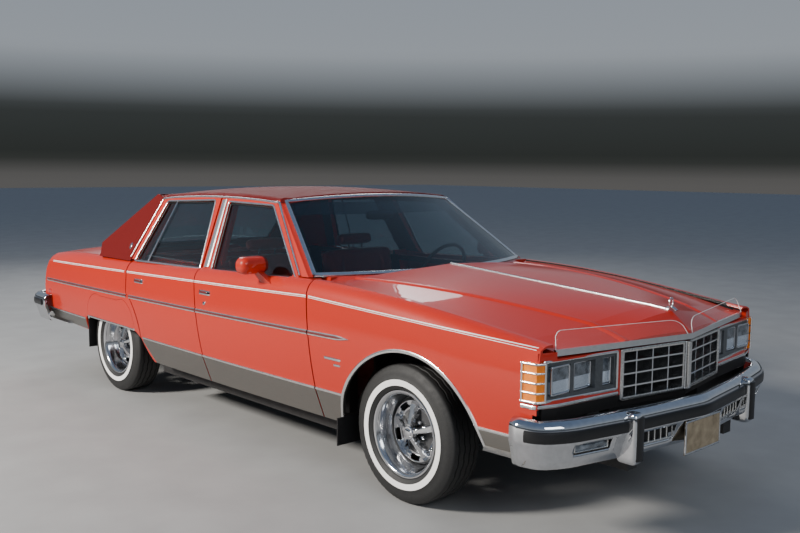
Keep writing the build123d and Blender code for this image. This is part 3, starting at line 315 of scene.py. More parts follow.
PAINT = make_paint("paint")
PANEL_PAINT = make_paint("panel_paint", UNDERCOAT_AND_SHADE)
WING_PAINT = make_paint("wing_paint", UNDERCOAT_AND_SHADE, outside=0.15, wing=True)
PILLAR_PAINT = make_paint("pillar_paint", UNDERCOAT_AND_SHADE, pillar=True)
# Painted shade: the nose panel is dark below NOSE_EDGE_Z, in the gap above the bumper
NOSE_PAINT = make_paint("nose_paint", UNDERCOAT_AND_SHADE, low_z=NOSE_EDGE_Z)
DOOR_PAINT = make_paint("door_paint", CABIN_RED)
FLOOR_PAINT = make_floor_paint()
VINYL = make_vinyl()
CHROME = make_metal("chrome", (0.68, 0.69, 0.71), (0.02, 0.06))
TRIM = make_metal("bright_trim", (0.86, 0.86, 0.85), (0.16, 0.26))
STAINLESS = make_metal("brushed_trim", (0.3, 0.285, 0.26), (0.24, 0.38), brushed=(1, 0.02, 1), grain=900)
ALLOY = make_metal("wheel_bright", (0.62, 0.63, 0.65), (0.1, 0.2), grain=300)
SATIN = make_metal("satin_trim", (0.82, 0.81, 0.78), (0.22, 0.32), brushed=(0.02, 1, 1), grain=900)
GRILLE_METAL = make_metal("grille_metal", (0.84, 0.85, 0.86), (0.14, 0.26), grain=200)
EXHAUST_STEEL = make_metal("exhaust_steel", (0.33, 0.3, 0.27), (0.35, 0.6), grain=70, grain_depth=0.2)
CAST = make_solid("bare_castings", (0.045, 0.045, 0.047), (0.1, 0.1, 0.105), (0.55, 0.8), 160, 0.4, 0.001)
BLACK_STEEL = make_solid("chassis_black", (0.01, 0.01, 0.01), (0.022, 0.021, 0.02), (0.45, 0.7), 90)
RUBBER = make_solid("black_rubber", (0.005, 0.005, 0.006), (0.011, 0.011, 0.012), (0.3, 0.42), 300, 0.25,
                    0.0005)
TYRE = make_solid("tyre_rubber", (0.01, 0.01, 0.01), (0.022, 0.022, 0.022), (0.55, 0.75), 240, 0.25)
WHITE_BAND = make_solid("tyre_white_band", (0.9, 0.89, 0.87), (0.95, 0.94, 0.92), (0.5, 0.62), 120, 0.08)
GREY = make_solid("lamp_housing_grey", (0.045, 0.05, 0.055), (0.075, 0.08, 0.085), (0.35, 0.5), 90, 0.06)
WHEEL_GREY = make_solid("wheel_pocket_grey", (0.035, 0.036, 0.038), (0.06, 0.061, 0.064), (0.4, 0.55), 200,
                        0.1)
STRIPE = make_solid("pinstripe_white", (0.78, 0.77, 0.74), (0.86, 0.85, 0.82), (0.25, 0.35), 90, 0.03)
CABIN = make_solid("cabin_red", (0.2, 0.016, 0.012), (0.28, 0.024, 0.016), (0.5, 0.65), 420, 0.3, 0.0008)
BAND = make_solid("moulding_red", (0.1, 0.008, 0.006), (0.15, 0.012, 0.008), (0.3, 0.4), 200, 0.1, coat=0.5)
DARK = make_solid("dark_inner", (0.008, 0.008, 0.009), (0.016, 0.016, 0.017), (0.6, 0.8), 120)
PLATE = make_solid("blank_plate", (0.2, 0.15, 0.09), (0.36, 0.29, 0.19), (0.35, 0.5), 26, 0.1, 0.001)
AMBER = make_solid("amber_lens", (0.78, 0.17, 0.002), (0.95, 0.25, 0.004), (0.25, 0.35), 40, 0.2, 0.001, 0.3)
RED_LENS = make_solid("red_lens", (0.3, 0.006, 0.006), (0.44, 0.01, 0.008), (0.12, 0.2), 40, 0.2, 0.001, 1.0)
GLASS_TINT = (0.5, 0.59, 0.6)
GLASS = make_clear("tinted_glass", tuple(0.94 * part for part in GLASS_TINT), GLASS_TINT, 3, 0.004,
                   {"Transmission Weight": 1.0, "Roughness": 0.0, "IOR": 1.45})
# The lamp lens carries a painted reflection, bright between heights 0.672 and 0.722
LENS = make_lens("lamp_lens", (0.03, 0.04, 0.05), (0.72, 0.82, 0.94), 55, (0.672, 0.722))
ACRYLIC = make_clear("clear_acrylic", (0.75, 0.74, 0.72), (0.9, 0.9, 0.88), 30, 0.01,
                     {"Roughness": 0.05, "Alpha": 0.05})
SHADE = make_clear("windshield_shade", (0.01, 0.018, 0.035), (0.016, 0.026, 0.048), 30, 0.01,
                   {"Roughness": 0.05, "Alpha": 0.72})
CLOTH = make_cloth()

FINISH = {
    "paint": PAINT, "vinyl": VINYL, "chrome": CHROME, "grille_plate": GRILLE_METAL, "glass": GLASS,
    "lamp_glass": LENS, "lamp_grey": GREY, "amber": AMBER, "lamp_red": RED_LENS, "rubber": RUBBER,
    "tyre": TYRE, "wheel_steel": ALLOY, "black_steel": BLACK_STEEL, "cast": CAST, "cloth": CLOTH,
    "trim_plastic": CABIN, "plate": PLATE,
}
NODE_FINISH = {
    "exhaust": EXHAUST_STEEL, "fenders": WING_PAINT, "steering_wheel": DARK, "fender_skirts": PANEL_PAINT,
    "rear_body": PANEL_PAINT, "header_panel": NOSE_PAINT, "body_floor": FLOOR_PAINT, "hood_moulding": TRIM,
    "side_frames": PILLAR_PAINT,
}
NODE_FINISH.update((f"{end}_door_{side}", DOOR_PAINT) for end, side, _ in CORNERS)


def dress_nodes():
    """Gives each CAD node the material of its slot."""
    for part in frame["record"]["subparts"]:
        piece = nodes[part["node"]]
        finish = NODE_FINISH.get(part["node"], FINISH[part["material_slot"]])
        piece.data.materials.clear()
        piece.data.materials.append(finish)


# Mesh making

def add_piece(name, made, finish, body="body", smooth=True, indices=None):
    """A mesh object made of (points, faces), riding on a body."""
    points, faces = made
    mesh = bpy.data.meshes.new(name)
    mesh.from_pydata([tuple(point) for point in points], [], faces)
    for one in finish if isinstance(finish, list) else [finish]:
        mesh.materials.append(one)
    work = bmesh.new()
    work.from_mesh(mesh)
    bmesh.ops.recalc_face_normals(work, faces=work.faces)
    work.to_mesh(mesh)
    work.free()
    if indices:
        mesh.polygons.foreach_set("material_index", indices)
    mesh.polygons.foreach_set("use_smooth", [smooth] * len(mesh.polygons))
    piece = add_object(name, mesh)
    if smooth:
        mesh.set_sharp_from_angle(angle=math.radians(35))
    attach(piece, body)
    return piece


def both_sides(name, made, finish, body="body"):
    """The same piece on the left of the car and mirrored on its right; {} in body stands for the side."""
    points, faces = made
    mirrored = [Vector((-point[0], point[1], point[2])) for point in points]
    add_piece(f"{name}_left", made, finish, body.format("left"))
    add_piece(f"{name}_right", (mirrored, faces), finish, body.format("right"))


def thicken(piece, thickness):
    thick = piece.modifiers.new("thick", "SOLIDIFY")
    thick.thickness = thickness
    thick.offset = 0


def grid_faces(rows, columns, closed=False):
    """Quads of a grid of points given row by row; closed joins the last row to the first."""
    faces = []
    for i in range(rows if closed else rows - 1):
        here = i * columns
        there = (i + 1) % rows * columns
        for j in range(columns - 1):
            faces.append((here + j, here + j + 1, there + j + 1, there + j))
    return faces


def surface(us, vs, place, closed=False):
    """Points and faces of a sheet that has the point place(u, v) for each two numbers."""
    return [place(u, v) for u in us for v in vs], grid_faces(len(us), len(vs), closed)


def lathe(profile, segments, centre, sign, wobble=None):
    """Points and faces of a closed (x, radius) profile turned about an X-parallel axis through centre."""
    points = []
    ring = profile + [profile[0]]
    for k in range(segments):
        angle = 2 * math.pi * k / segments
        for j, (x, radius) in enumerate(ring):
            if wobble:
                x, radius = wobble(j % len(profile), k, x, radius)
            y = centre.y + radius * math.cos(angle)
            points.append(Vector((centre.x + sign * x, y, centre.z + radius * math.sin(angle))))
    return points, grid_faces(segments, len(ring), closed=True)


def heading(points, i):
    """Direction of a line of points at one of them."""
    return (points[min(i + 1, len(points) - 1)] - points[max(i - 1, 0)]).normalized()


def ribbon(line, width, height, taper=0):
    """Points and faces of a strip with a rounded top along a line of (point, outward normal).

    Places with no point are left out; taper narrows that many of the first steps.
    """
    steps = 6
    count = steps + 3
    line = [(at, normal) for at, normal in line if at is not None]
    path = [at for at, _ in line]
    points = []
    for i, (at, normal) in enumerate(line):
        along = heading(path, i)
        across = normal.cross(along).normalized()
        up = along.cross(across).normalized()
        if up.dot(normal) < 0:
            up = -up
        wide = width * min(1.0, (i + 0.3) / taper) if taper else width
        points.append(at - across * wide / 2 - up * 0.001)
        for k in range(steps + 1):
            turn = math.pi * k / steps
            points.append(at - across * wide / 2 * math.cos(turn) + up * height * math.sin(turn) ** 0.6)
        points.append(at + across * wide / 2 - up * 0.001)
    faces = grid_faces(len(path), count)
    last = (len(path) - 1) * count
    for here in range(0, last, count):
        faces.append((here, here + count, here + 2 * count - 1, here + count - 1))
    faces.append(tuple(range(count)))
    faces.append(tuple(range(last, last + count)))
    return points, faces


def outward(points, way):
    """A level line for ribbon that faces the left (1) or the right (-1) of its course."""
    headings = [heading(points, i) for i in range(len(points))]
    return [(at, Vector((-way * along.y, way * along.x, 0))) for at, along in zip(points, headings)]


def one_way(points, normal):
    """A line for ribbon whose places all face the same way."""
    return [(Vector(point), Vector(normal).normalized()) for point in points]


def pillow(centre, half, power=4.0):
    """Points and faces of a rounded block about a centre."""
    def bent(value):
        return math.copysign(abs(value) ** (2 / power), value)

    def spot(turn, rise):
        level = bent(math.cos(rise))
        shape = (level * bent(math.cos(turn)), level * bent(math.sin(turn)), bent(math.sin(rise)))
        return Vector([at + size * part for at, size, part in zip(centre, half, shape)])

    return surface(spaced(0, 2 * math.pi, 24)[:-1], spaced(-math.pi / 2, math.pi / 2, 12), spot, closed=True)


def merged(pieces):
    """Several (points, faces) made into one."""
    points = []
    faces = []
    for some, parts in pieces:
        base = len(points)
        points += some
        faces += [tuple(base + index for index in part) for part in parts]
    return points, faces


# Body side skin, found by looking at the CAD nodes from the left

class Skin:
    def __init__(self, *names):
        meshes = [nodes[name].data for name in names]
        self.tree = BVHTree.FromPolygons(*merged(
            ([vertex.co.copy() for vertex in mesh.vertices], [polygon.vertices for polygon in mesh.polygons])
            for mesh in meshes))

    def seen(self, start, direction):
        """First point that a look from start meets."""
        return self.tree.ray_cast(Vector(start), Vector(direction))[0]

    def side(self, y, z):
        """Point and outward normal of the left side at a place."""
        hit, above, below = [self.seen((1.3, y, z + step), (-1, 0, 0)) for step in (0, 0.004, -0.004)]
        if hit is None:
            return None, None
        slope = (above - below).normalized() if above and below else Vector((0, 0, 1))
        normal = Vector((0, 1, 0)).cross(slope)
        return hit, (normal if normal.x > 0 else -normal).normalized()

    def top(self, x, y):
        """Point and upward normal of the top surface at a place."""
        hit, behind = [self.seen((x, y + step, 2.0), (0, 0, -1)) for step in (0, 0.01)]
        if behind is None:
            behind = hit + Vector((0, 0.01, 0))
        return hit, Vector((1, 0, 0)).cross((behind - hit).normalized()).normalized()


# Skin and bodies of each panel
SKINS = {
    "fender": (Skin("fenders"), "body"),
    "front_door": (Skin("front_door_left"), "front_door_{}"),
    "rear_door": (Skin("rear_door_left"), "rear_door_{}"),
    "quarter": (Skin("rear_body", "fender_skirts"), "body"),
    "sail": (Skin("roof"), "body"),
}


# The door seams' Y at a height, as in the CAD

def front_seam(z):
    return -0.976 + 0.171 * (z - 0.919)


def mid_seam(z):
    return 0.116 + 0.22 * (z - 0.908)


def rear_seam(z):
    if z > 0.73:
        return 0.985 + 0.027 * (z - 0.73) / 0.29
    return 0.8 + 0.185 * ((z - 0.454) / 0.276) ** 1.25


def line_z(start, end, shift=0.0):
    """Height along a straight line between two (y, z) places."""
    return lambda y: start[1] + (end[1] - start[1]) * (y - start[0]) / (end[0] - start[0]) + shift


def side_strip(name, part, y0, y1, height_at, width, proud, finish, taper=0):
    """A strip along one panel, on both sides of the car."""
    skin, body = SKINS[part]
    line = [skin.side(y, height_at(y)) for y in spaced(y0, y1, max(2, int(abs(y1 - y0) / 0.03)))]
    both_sides(name, ribbon(line, width, proud, taper), finish, body)


def side_plate(name, part, at, size, proud, finish, power=6.0):
    """A raised rounded plate on one panel: at and size are (y, z)."""
    skin, body = SKINS[part]

    def spot(u, v):
        reach = (1 - abs(v) ** power) ** (1 / power)
        hit, normal = skin.side(at[0] + u * size[0] / 2 * reach, at[1] + v * size[1] / 2)
        return hit + normal * (proud * min(1.0, 4 * (1 - abs(u)), 3 * (1 - abs(v))) ** 0.5 - 0.001)

    both_sides(name, surface(spaced(-1, 1, 14), spaced(-1, 1, 8), spot), finish, body)


def along_side(name, height_at, width, proud, finish, start, end, taper=0):
    """A line along the whole side, cut at the door seams."""
    front, middle, rear = [seam(height_at(seam(0.8))) for seam in (front_seam, mid_seam, rear_seam)]
    spans = {
        "fender": (start, front - SEAM_GAP), "front_door": (front + SEAM_GAP, middle - SEAM_GAP),
        "rear_door": (middle + SEAM_GAP, rear - SEAM_GAP), "quarter": (rear + SEAM_GAP, end),
    }
    for part, (y0, y1) in spans.items():
        if y1 > y0:
            side_strip(f"{name}_{part}", part, y0, y1, height_at, width, proud, finish,
                       taper if part == "fender" else 0)


def side_sheet(name, part, front, rear, low_z, height, columns):
    """Bright sheet on one panel; front and rear give its edges' Y at a height and a share of its height."""
    skin, body = SKINS[part]
    rows = 5
    proud = 0.0025
    points = []
    for t in spaced(0, 1, columns):
        for s in spaced(0, 1, rows):
            z = low_z + s * height
            y = front(z, s) * (1 - t) + rear(z, s) * t
            hit, normal = skin.side(y, z)
            if hit is None:
                hit = points[-1] if points else Vector((0.95, y, z))
                normal = Vector((1, 0, 0))
            points.append(Vector((hit.x + proud * normal.x, y, z + proud * normal.z)))
    both_sides(name, (points, grid_faces(columns + 1, rows + 1)), STAINLESS, body)


def make_side_trim():
    moulding = line_z(MOULDING_FRONT, MOULDING_REAR)
    start = MOULDING_FRONT[0]
    end = MOULDING_REAR[0]
    along_side("side_moulding_edge", moulding, 0.027, 0.006, TRIM, start, end, taper=3)
    along_side("side_moulding_band", moulding, 0.013, 0.0085, BAND, start + 0.04, end - 0.02, taper=2)
    for row, shift, width in ((1, 0.004, 0.0055), (2, -0.004, 0.003)):
        along_side(f"pinstripe_{row}", line_z(*PINSTRIPE, shift), width, 0.0006, STRIPE, -0.975, 2.3)
        fender = line_z(*PINSTRIPE_FENDER, shift)
        side_strip(f"pinstripe_fender_{row}", "fender", -2.425, -0.99, fender, width, 0.0006, STRIPE)

    seam_z = 0.46
    front = front_seam(seam_z)
    middle = mid_seam(seam_z)
    edges = {
        "front_door": (front + SEAM_GAP, middle - SEAM_GAP, TRIM_TOP),
        "rear_door": (middle + SEAM_GAP, 0.8 - SEAM_GAP, TRIM_TOP),
        "fender": (-1.262, front - SEAM_GAP, TRIM_TOP),
        "nose": (-2.4, -2.13, 0.478),
        "quarter": (1.672, 2.4, 0.473),
    }
    for name, (y0, y1, z) in edges.items():
        part = "fender" if name == "nose" else name
        side_strip(f"trim_edge_{name}", part, y0, y1, lambda y: z, 0.014, 0.005, TRIM)

    low = (0.306, 0.149)
    sheets = {
        "front_door": (lambda z, s: front_seam(z) + SEAM_GAP, lambda z, s: mid_seam(z) - SEAM_GAP, *low, 30),
        "rear_door": (lambda z, s: mid_seam(z) + SEAM_GAP, lambda z, s: 0.655 + 0.14 * s, *low, 24),
        "fender": (lambda z, s: -1.232 - 0.035 * s * s, lambda z, s: front_seam(z) - SEAM_GAP, *low, 12),
        "nose": (lambda z, s: -2.415, lambda z, s: -2.168 + 0.03 * s, 0.387, 0.087, 10),
        "quarter": (lambda z, s: 1.668, lambda z, s: 2.368, 0.394, 0.076, 20),
    }
    for name, sheet in sheets.items():
        side_sheet(f"lower_trim_{name}", "fender" if name == "nose" else name, *sheet)


def make_skirt_lip():
    """Bright lip along the lower edge of the fender skirts."""
    skin = Skin("fender_skirts")
    low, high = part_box("fender_skirts")
    line = []
    for y in spaced(low[1] + 0.004, high[1] - 0.004, 48):
        z = low[2] - 0.002
        while z < high[2] and skin.side(y, z)[0] is None:
            z += 0.002
        line.append(skin.side(y, z + 0.006))
    both_sides("skirt_lip", ribbon(line, 0.015, 0.005), TRIM)


def make_handles():
    for name, y, z in (("rear", 0.812, 0.827), ("front", -0.017, 0.839)):
        side_plate(f"handle_frame_{name}", f"{name}_door", (y, z), (0.122, 0.034), 0.009, CHROME)
        side_plate(f"handle_pull_{name}", f"{name}_door", (y, z + 0.002), (0.088, 0.014), 0.0125, BAND)
    side_plate("key_cylinder", "front_door", (-0.022, 0.777), (0.024, 0.024), 0.007, CHROME, power=2.0)
    side_plate("fender_badge_upper", "fender", (-1.2, 0.632), (0.132, 0.017), 0.005, CHROME)
    side_plate("fender_badge_lower", "fender", (-1.235, 0.604), (0.052, 0.014), 0.005, CHROME)
    side_plate("side_marker", "quarter", (2.335, 0.602), (0.06, 0.042), 0.006, RED_LENS)
    side_plate("pillar_emblem", "sail", EMBLEM_AT, (0.026, 0.046), 0.005, CHROME, power=2.0)


ARCH_CENTRE = (-1.704, 0.265)
ARCH_RADIUS = 0.47


def make_wheel_lips():
    skin = SKINS["fender"][0]
    reach = ARCH_RADIUS + 0.007
    angles = [math.radians(degrees) for degrees in spaced(164, 6, 60)]
    y, z = ARCH_CENTRE
    line = [skin.side(y - reach * math.cos(math.pi - angle), z + reach * math.sin(angle)) for angle in angles]
    both_sides("front_wheel_lip", ribbon(line, 0.018, 0.006), TRIM)


# Greenhouse: the plane of the window frames

def frame_x(z):
    """Distance of the window frames' plane from the car's middle at a height."""
    return BELT_X - SIDE_LEAN * (z - BELT_Z)


def frame_plane(y, z, proud):
    normal = Vector((1, 0, SIDE_LEAN)).normalized()
    return Vector((frame_x(z), y, z)) + normal * proud, normal


def rounded(points, radius, closed=True, steps=4):
    """A path through flat points with its corners rounded."""
    made = []
    count = len(points)
    for i, point in enumerate(points):
        if not closed and i in (0, count - 1):
            made.append(point)
            continue
        before = Vector(points[i - 1])
        after = Vector(points[(i + 1) % count])
        here = Vector(point)
        into = here + (before - here).normalized() * radius
        out = here + (after - here).normalized() * radius
        for t in spaced(0, 1, steps):
            spot = into * (1 - t) ** 2 + here * 2 * t * (1 - t) + out * t ** 2
            made.append((spot.x, spot.y))
    if closed:
        made.append(made[0])
    return made


def plane_strip(name, part, points, width, proud, finish, lift):
    """A strip on the plane of the window frames, on both sides, riding as that panel does."""
    line = [frame_plane(y, z, lift) for y, z in points]
    both_sides(name, ribbon(line, width, proud), finish, SKINS[part][1])


# Window corners as (y, z)
FRONT_WINDOW = [(-0.79, 0.993), (-0.361, 1.35), (0.1, 1.357), (0.011, 0.97)]
REAR_WINDOW = [(0.15, 0.968), (0.264, 1.361), (0.829, 1.337), (0.949, 0.953)]


def grown(points, margin):
    """A polygon pushed out from its middle by a margin on every edge."""
    corners = [Vector(point) for point in points]
    middle = sum(corners, Vector((0, 0))) / len(corners)
    edges = []
    for a, b in zip(corners, corners[1:] + corners[:1]):
        out = Vector((-(b - a).y, (b - a).x)).normalized()
        if out.dot(a - middle) < 0:
            out = -out
        edges.append((a + out * margin, b + out * margin))
    made = []
    for (a, b), (c, d) in zip(edges[-1:] + edges, edges):
        p, q = b - a, d - c
        t = ((c - a).x * q.y - (c - a).y * q.x) / (p.x * q.y - p.y * q.x)
        made.append(tuple(a + p * t))
    return made


def drip_z(y):
    """Height of the drip moulding over the doors."""
    return 1.388 - (y - 0.15) ** 2 / 19.0


def make_window_trim():
    for door, window in (("front_door", FRONT_WINDOW), ("rear_door", REAR_WINDOW)):
        reveal = rounded(grown(window, 0.006), 0.018)
        plane_strip(f"window_reveal_{door}", door, reveal, 0.013, 0.005, TRIM, 0.001)
        seal = rounded(grown(window, -0.003), 0.014)
        plane_strip(f"window_seal_{door}", door, seal, 0.01, 0.003, RUBBER, -0.01)
    divider = [(0.792, 0.957), (0.716, 1.345)]
    plane_strip("rear_vent_bar", "rear_door", divider, 0.014, 0.004, CHROME, -0.004)
    pillar = [(0.077, 0.975), (0.158, 1.372)]
    plane_strip("centre_pillar_plate", "front_door", pillar, 0.048, 0.004, SATIN, 0.003)
    drip = [(-0.834, 1.006), (-0.405, 1.376)]
    drip += [(y / 100, drip_z(y / 100) - 0.002) for y in range(-38, 88, 6)]
    drip += [(0.897, drip_z(0.897) - 0.004), (1.018, 0.966)]
    plane_strip("drip_moulding", "sail", rounded(drip, 0.01, closed=False), 0.013, 0.008, TRIM, 0.002)


SCREEN_SLOPE = 1.545


def windshield_point(x, z, proud):
    y = -1.118 + x * x / 3.198 + SCREEN_SLOPE * (z - 1.012)
    normal = Vector((x / 1.599, -1, SCREEN_SLOPE)).normalized()
    return Vector((x, y, z)) + normal * proud, normal


def backlight_point(x, z, proud):
    y = 1.7 - x * x / 7.0 - SCREEN_SLOPE * (z - 0.98)
    normal = Vector((x / 3.5, 1, SCREEN_SLOPE)).normalized()
    return Vector((x, y, z)) + normal * proud, normal


def make_screen_trim():
    def edge(z):
        return frame_x(z) - 0.034

    low, high = 1.014, 1.378
    outline = [(x, low) for x in spaced(-edge(low), edge(low), 30)]
    outline += [(edge(z), z) for z in spaced(low, high, 12)[1:-1]]
    outline += [(edge(high) * u, high + 0.03 * (1 - u * u)) for u in spaced(1, -1, 24)]
    outline += [(-edge(z), z) for z in spaced(high, low, 12)[1:-1]]
    outline.append(outline[0])
    line = [windshield_point(x, z, 0.001) for x, z in outline]
    add_piece("windshield_moulding", ribbon(line, 0.026, 0.008), TRIM)

    corners = [(-0.64, 0.996), (0.64, 0.996), (0.52, 1.352), (-0.52, 1.352)]
    line = [backlight_point(x, z, 0.0005) for x, z in rounded(corners, 0.03)]
    add_piece("rear_window_moulding", ribbon(line, 0.022, 0.006), TRIM)


# Wheels and tyres; profiles are (x from the wheel's middle, radius)

TYRE_PROFILE = [
    (0.0762, 0.1915), (0.0764, 0.2104), (0.088, 0.212), (0.095, 0.221), (0.099, 0.23), (0.1012, 0.232),
    (0.1022, 0.245), (0.102, 0.2608), (0.1004, 0.263), (0.0985, 0.286), (0.095, 0.3), (0.09, 0.311),
    (0.086, 0.317), (0.083, 0.3235), (0.078, 0.3275), (0.072, 0.33),
]
TREAD = [(0.056, 0.331), (0.054, 0.3245), (0.048, 0.3245), (0.046, 0.3313), (0.022, 0.3318), (0.02, 0.325),
         (0.014, 0.325), (0.012, 0.332)]
WHITE_RADII = (0.231, 0.2619)
TYRE_SEGMENTS = 180


def middle_of(node):
    low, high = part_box(node)
    return (Vector(low) + Vector(high)) / 2


def make_tyres():
    right_half = TYRE_PROFILE + TREAD
    profile = right_half + [(-x, radius) for x, radius in reversed(right_half)]
    first_tread = len(TYRE_PROFILE)
    last_tread = len(profile) - first_tread

    def wobble(j, k, x, radius):
        if first_tread <= j < last_tread:
            x += 0.0022 * (1 if (k // 3) % 2 else -1)
        elif j in (first_tread - 3, first_tread - 4, last_tread + 2, last_tread + 3) and k % 3 == 0:
            radius -= 0.0022
        return x, radius

    indices = []
    for (x, radius), (_, following) in zip(profile, profile[1:] + profile[:1]):
        indices.append(1 if x > 0.09 and WHITE_RADII[0] < (radius + following) / 2 < WHITE_RADII[1] else 0)
    for end, side, sign in CORNERS:
        node = f"tyre_{end}_{side}"
        made = lathe(profile, TYRE_SEGMENTS, middle_of(node), sign, wobble)
        piece = add_piece(f"road_{node}", made, [TYRE, WHITE_BAND], f"wheel_{end}_{side}",
                          indices=indices * TYRE_SEGMENTS)
        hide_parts(node)


RIM_PROFILE = [
    (0.0785, 0.2098), (0.085, 0.2098), (0.0872, 0.2075), (0.0868, 0.2), (0.082, 0.193), (0.06, 0.184),
    (0.03, 0.176), (0.01, 0.169), (-0.002, 0.161), (-0.008, 0.16), (-0.06, 0.168),
    (-0.0865, 0.178), (-0.0865, 0.2098), (-0.0785, 0.2098), (-0.0765, 0.1897), (0.0765, 0.1897),
]
CAP_PROFILE = [(0.03, 0.0), (0.03, 0.034), (0.052, 0.033), (0.0555, 0.03), (0.0565, 0.024), (0.06, 0.022),
               (0.0625, 0.016), (0.0635, 0.0)]
NUT_PROFILE = [(-0.004, 0.0), (-0.004, 0.0105), (0.013, 0.0105), (0.018, 0.0075), (0.019, 0.0)]
NUT_CIRCLE = 0.06
WHEEL_X = {"front": 0.783, "rear": 0.775}
SPOKE_COUNT = 5
SPOKE_STEP = 2 * math.pi / SPOKE_COUNT
DISC_INNER = 0.03
DISC_RADIUS = 0.156
DISC_SEGMENTS = 180
HUB_RADIUS = 0.045
SPOKE_END = 0.14


def smooth(low, high, value):
    t = min(1.0, max(0.0, (value - low) / (high - low)))
    return t * t * (3 - 2 * t)


def off_spoke(radius, angle):
    """How far a place lies outside the nearest spoke's edge."""
    off = abs((angle + SPOKE_STEP / 2) % SPOKE_STEP - SPOKE_STEP / 2) * radius
    return off - 0.012 - 0.085 * max(0.0, radius - HUB_RADIUS)


def spoke_height(radius, angle):
    """Outward height of the wheel's centre disc."""
    spoke = 1 - smooth(-0.004, 0.004, off_spoke(radius, angle))
    pocket = -0.006 + 0.012 * smooth(0.116, 0.128, radius) - 0.01 * smooth(0.148, 0.153, radius)
    ridge = 0.05 - 0.3 * max(0.0, radius - 0.04)
    end = smooth(SPOKE_END - 0.006, SPOKE_END + 0.006, radius)
    ridge = max(pocket, ridge * (1 - end) + pocket * end)
    return pocket + spoke * (ridge - pocket)


def wheel_disc(middle, sign):
    """Spoked disc with slots between its spokes, and whether each face is bright (0) or grey (1)."""
    def spot(angle, radius):
        x = sign * spoke_height(radius, angle)
        return middle + Vector((x, radius * math.sin(angle), radius * math.cos(angle)))

    rings = spaced(DISC_INNER, DISC_RADIUS, 40)
    points, grid = surface(spaced(0, 2 * math.pi, DISC_SEGMENTS)[:-1], rings, spot, closed=True)
    faces = []
    indices = []
    for face in grid:
        k, j = divmod(face[0], len(rings))
        angle = 2 * math.pi * (k + 0.5) / DISC_SEGMENTS
        radius = (rings[j] + rings[j + 1]) / 2
        slot = 0.118 < radius < 0.142 and abs(angle % SPOKE_STEP - SPOKE_STEP / 2) * radius < 0.03
        if not slot:
            faces.append(face)
            bright = off_spoke(radius, angle) < 0.001 and radius < SPOKE_END
            indices.append(0 if bright or 0.11 < radius < 0.148 else 1)
    return (points, faces), indices


def make_wheel(end, side, sign):
    node = f"rim_{end}_{side}"
    body = f"wheel_{end}_{side}"
    middle = middle_of(node)
    middle.x = sign * WHEEL_X[end]
    rim = add_piece(f"bright_{node}", lathe(RIM_PROFILE, 96, middle, sign), ALLOY, body)
    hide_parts(node)
    made, indices = wheel_disc(middle, sign)
    thicken(add_piece(f"disc_{node}", made, [ALLOY, WHEEL_GREY], body, indices=indices), 0.004)
    add_piece(f"cap_{node}", lathe(CAP_PROFILE, 48, middle, sign), CHROME, body)
    for k in range(SPOKE_COUNT):
        angle = SPOKE_STEP * (k + 0.5)
        at = middle + Vector((0, NUT_CIRCLE * math.sin(angle), NUT_CIRCLE * math.cos(angle)))
        add_piece(f"lug_{k + 1}_{node}", lathe(NUT_PROFILE, 6, at, sign), CHROME, body, smooth=False)


# Front end; plans are (x, y) lines seen from above, openings are (x0, x1, z0, z1)

NOSE_PLAN = [(0.0, -2.588), (0.424, -2.512), (0.795, -2.47), (0.893, -2.438)]
GRILLE_PLAN = [(0.014, -2.59), (0.418, -2.52)]
LENS_PLAN = [(0.0, -2.466), (1.0, -2.466)]
BUMPER_PLAN = [(0.0, -2.65), (0.43, -2.592), (0.79, -2.518), (0.893, -2.462), (0.911, -2.352)]
CORNER_PLAN = [(0.8665, -2.4665), (0.9055, -2.4485), (0.9125, -2.3745)]
LENSES = ((0.566, 0.692), (0.712, 0.838))
LENS_Z = (0.662, 0.784)
LAMP_Z = (0.642, 0.804)
LOW_MOULDING_Z = 0.622
GUARD_X = 0.492
AHEAD = (0, -1, 0)


def plan_at(plan, x):
    """Y of a plan line and its slope at a distance from the middle."""
    for (x0, y0), (x1, y1) in zip(plan, plan[1:]):
        if x <= x1 or (x1, y1) == plan[-1]:
            slope = (y1 - y0) / (x1 - x0)
            return y0 + slope * (x - x0), slope


def front_line(places, plan, ahead):
    """A line for ribbon through (x, z) places ahead of a plan line."""
    line = []
    for x, z in places:
        y, slope = plan_at(plan, x)
        line.append((Vector((x, y - ahead, z)), Vector((slope, -1, 0)).normalized()))
    return line


def rectangle(x0, x1, z0, z1):
    return [(x0, z0), (x1, z0), (x1, z1), (x0, z1)]


def inset(x0, x1, z0, z1, margin):
    """An opening made smaller on every side."""
    return (x0 + margin, x1 - margin, z0 + margin, z1 - margin)


def front_frame(name, opening, plan, ahead, width, height, finish, radius=0.006):
    """Closed strip round an opening of the front, on both sides."""
    line = front_line(rounded(rectangle(*opening), radius), plan, ahead)
    both_sides(name, ribbon(line, width, height), finish)


def front_sheet(name, opening, plan, ahead, bulge, finish):
    """Bulged lens or panel behind an opening of the front, on both sides."""
    x0, x1, z0, z1 = opening

    def spot(u, v):
        x = x0 + (x1 - x0) * (u + 1) / 2
        y = plan_at(plan, x)[0] - ahead - bulge * (1 - u * u) * (1 - v * v)
        return Vector((x, y, z0 + (z1 - z0) * (v + 1) / 2))

    both_sides(name, surface(spaced(-1, 1, 12), spaced(-1, 1, 8), spot), finish)


def corner_strip(z, width, height):
    """Strip round the corner lamp at one height."""
    points = [Vector((x, y, z)) for x, y in rounded(CORNER_PLAN, 0.006, closed=False)]
    return ribbon(outward(points, -1), width, height)


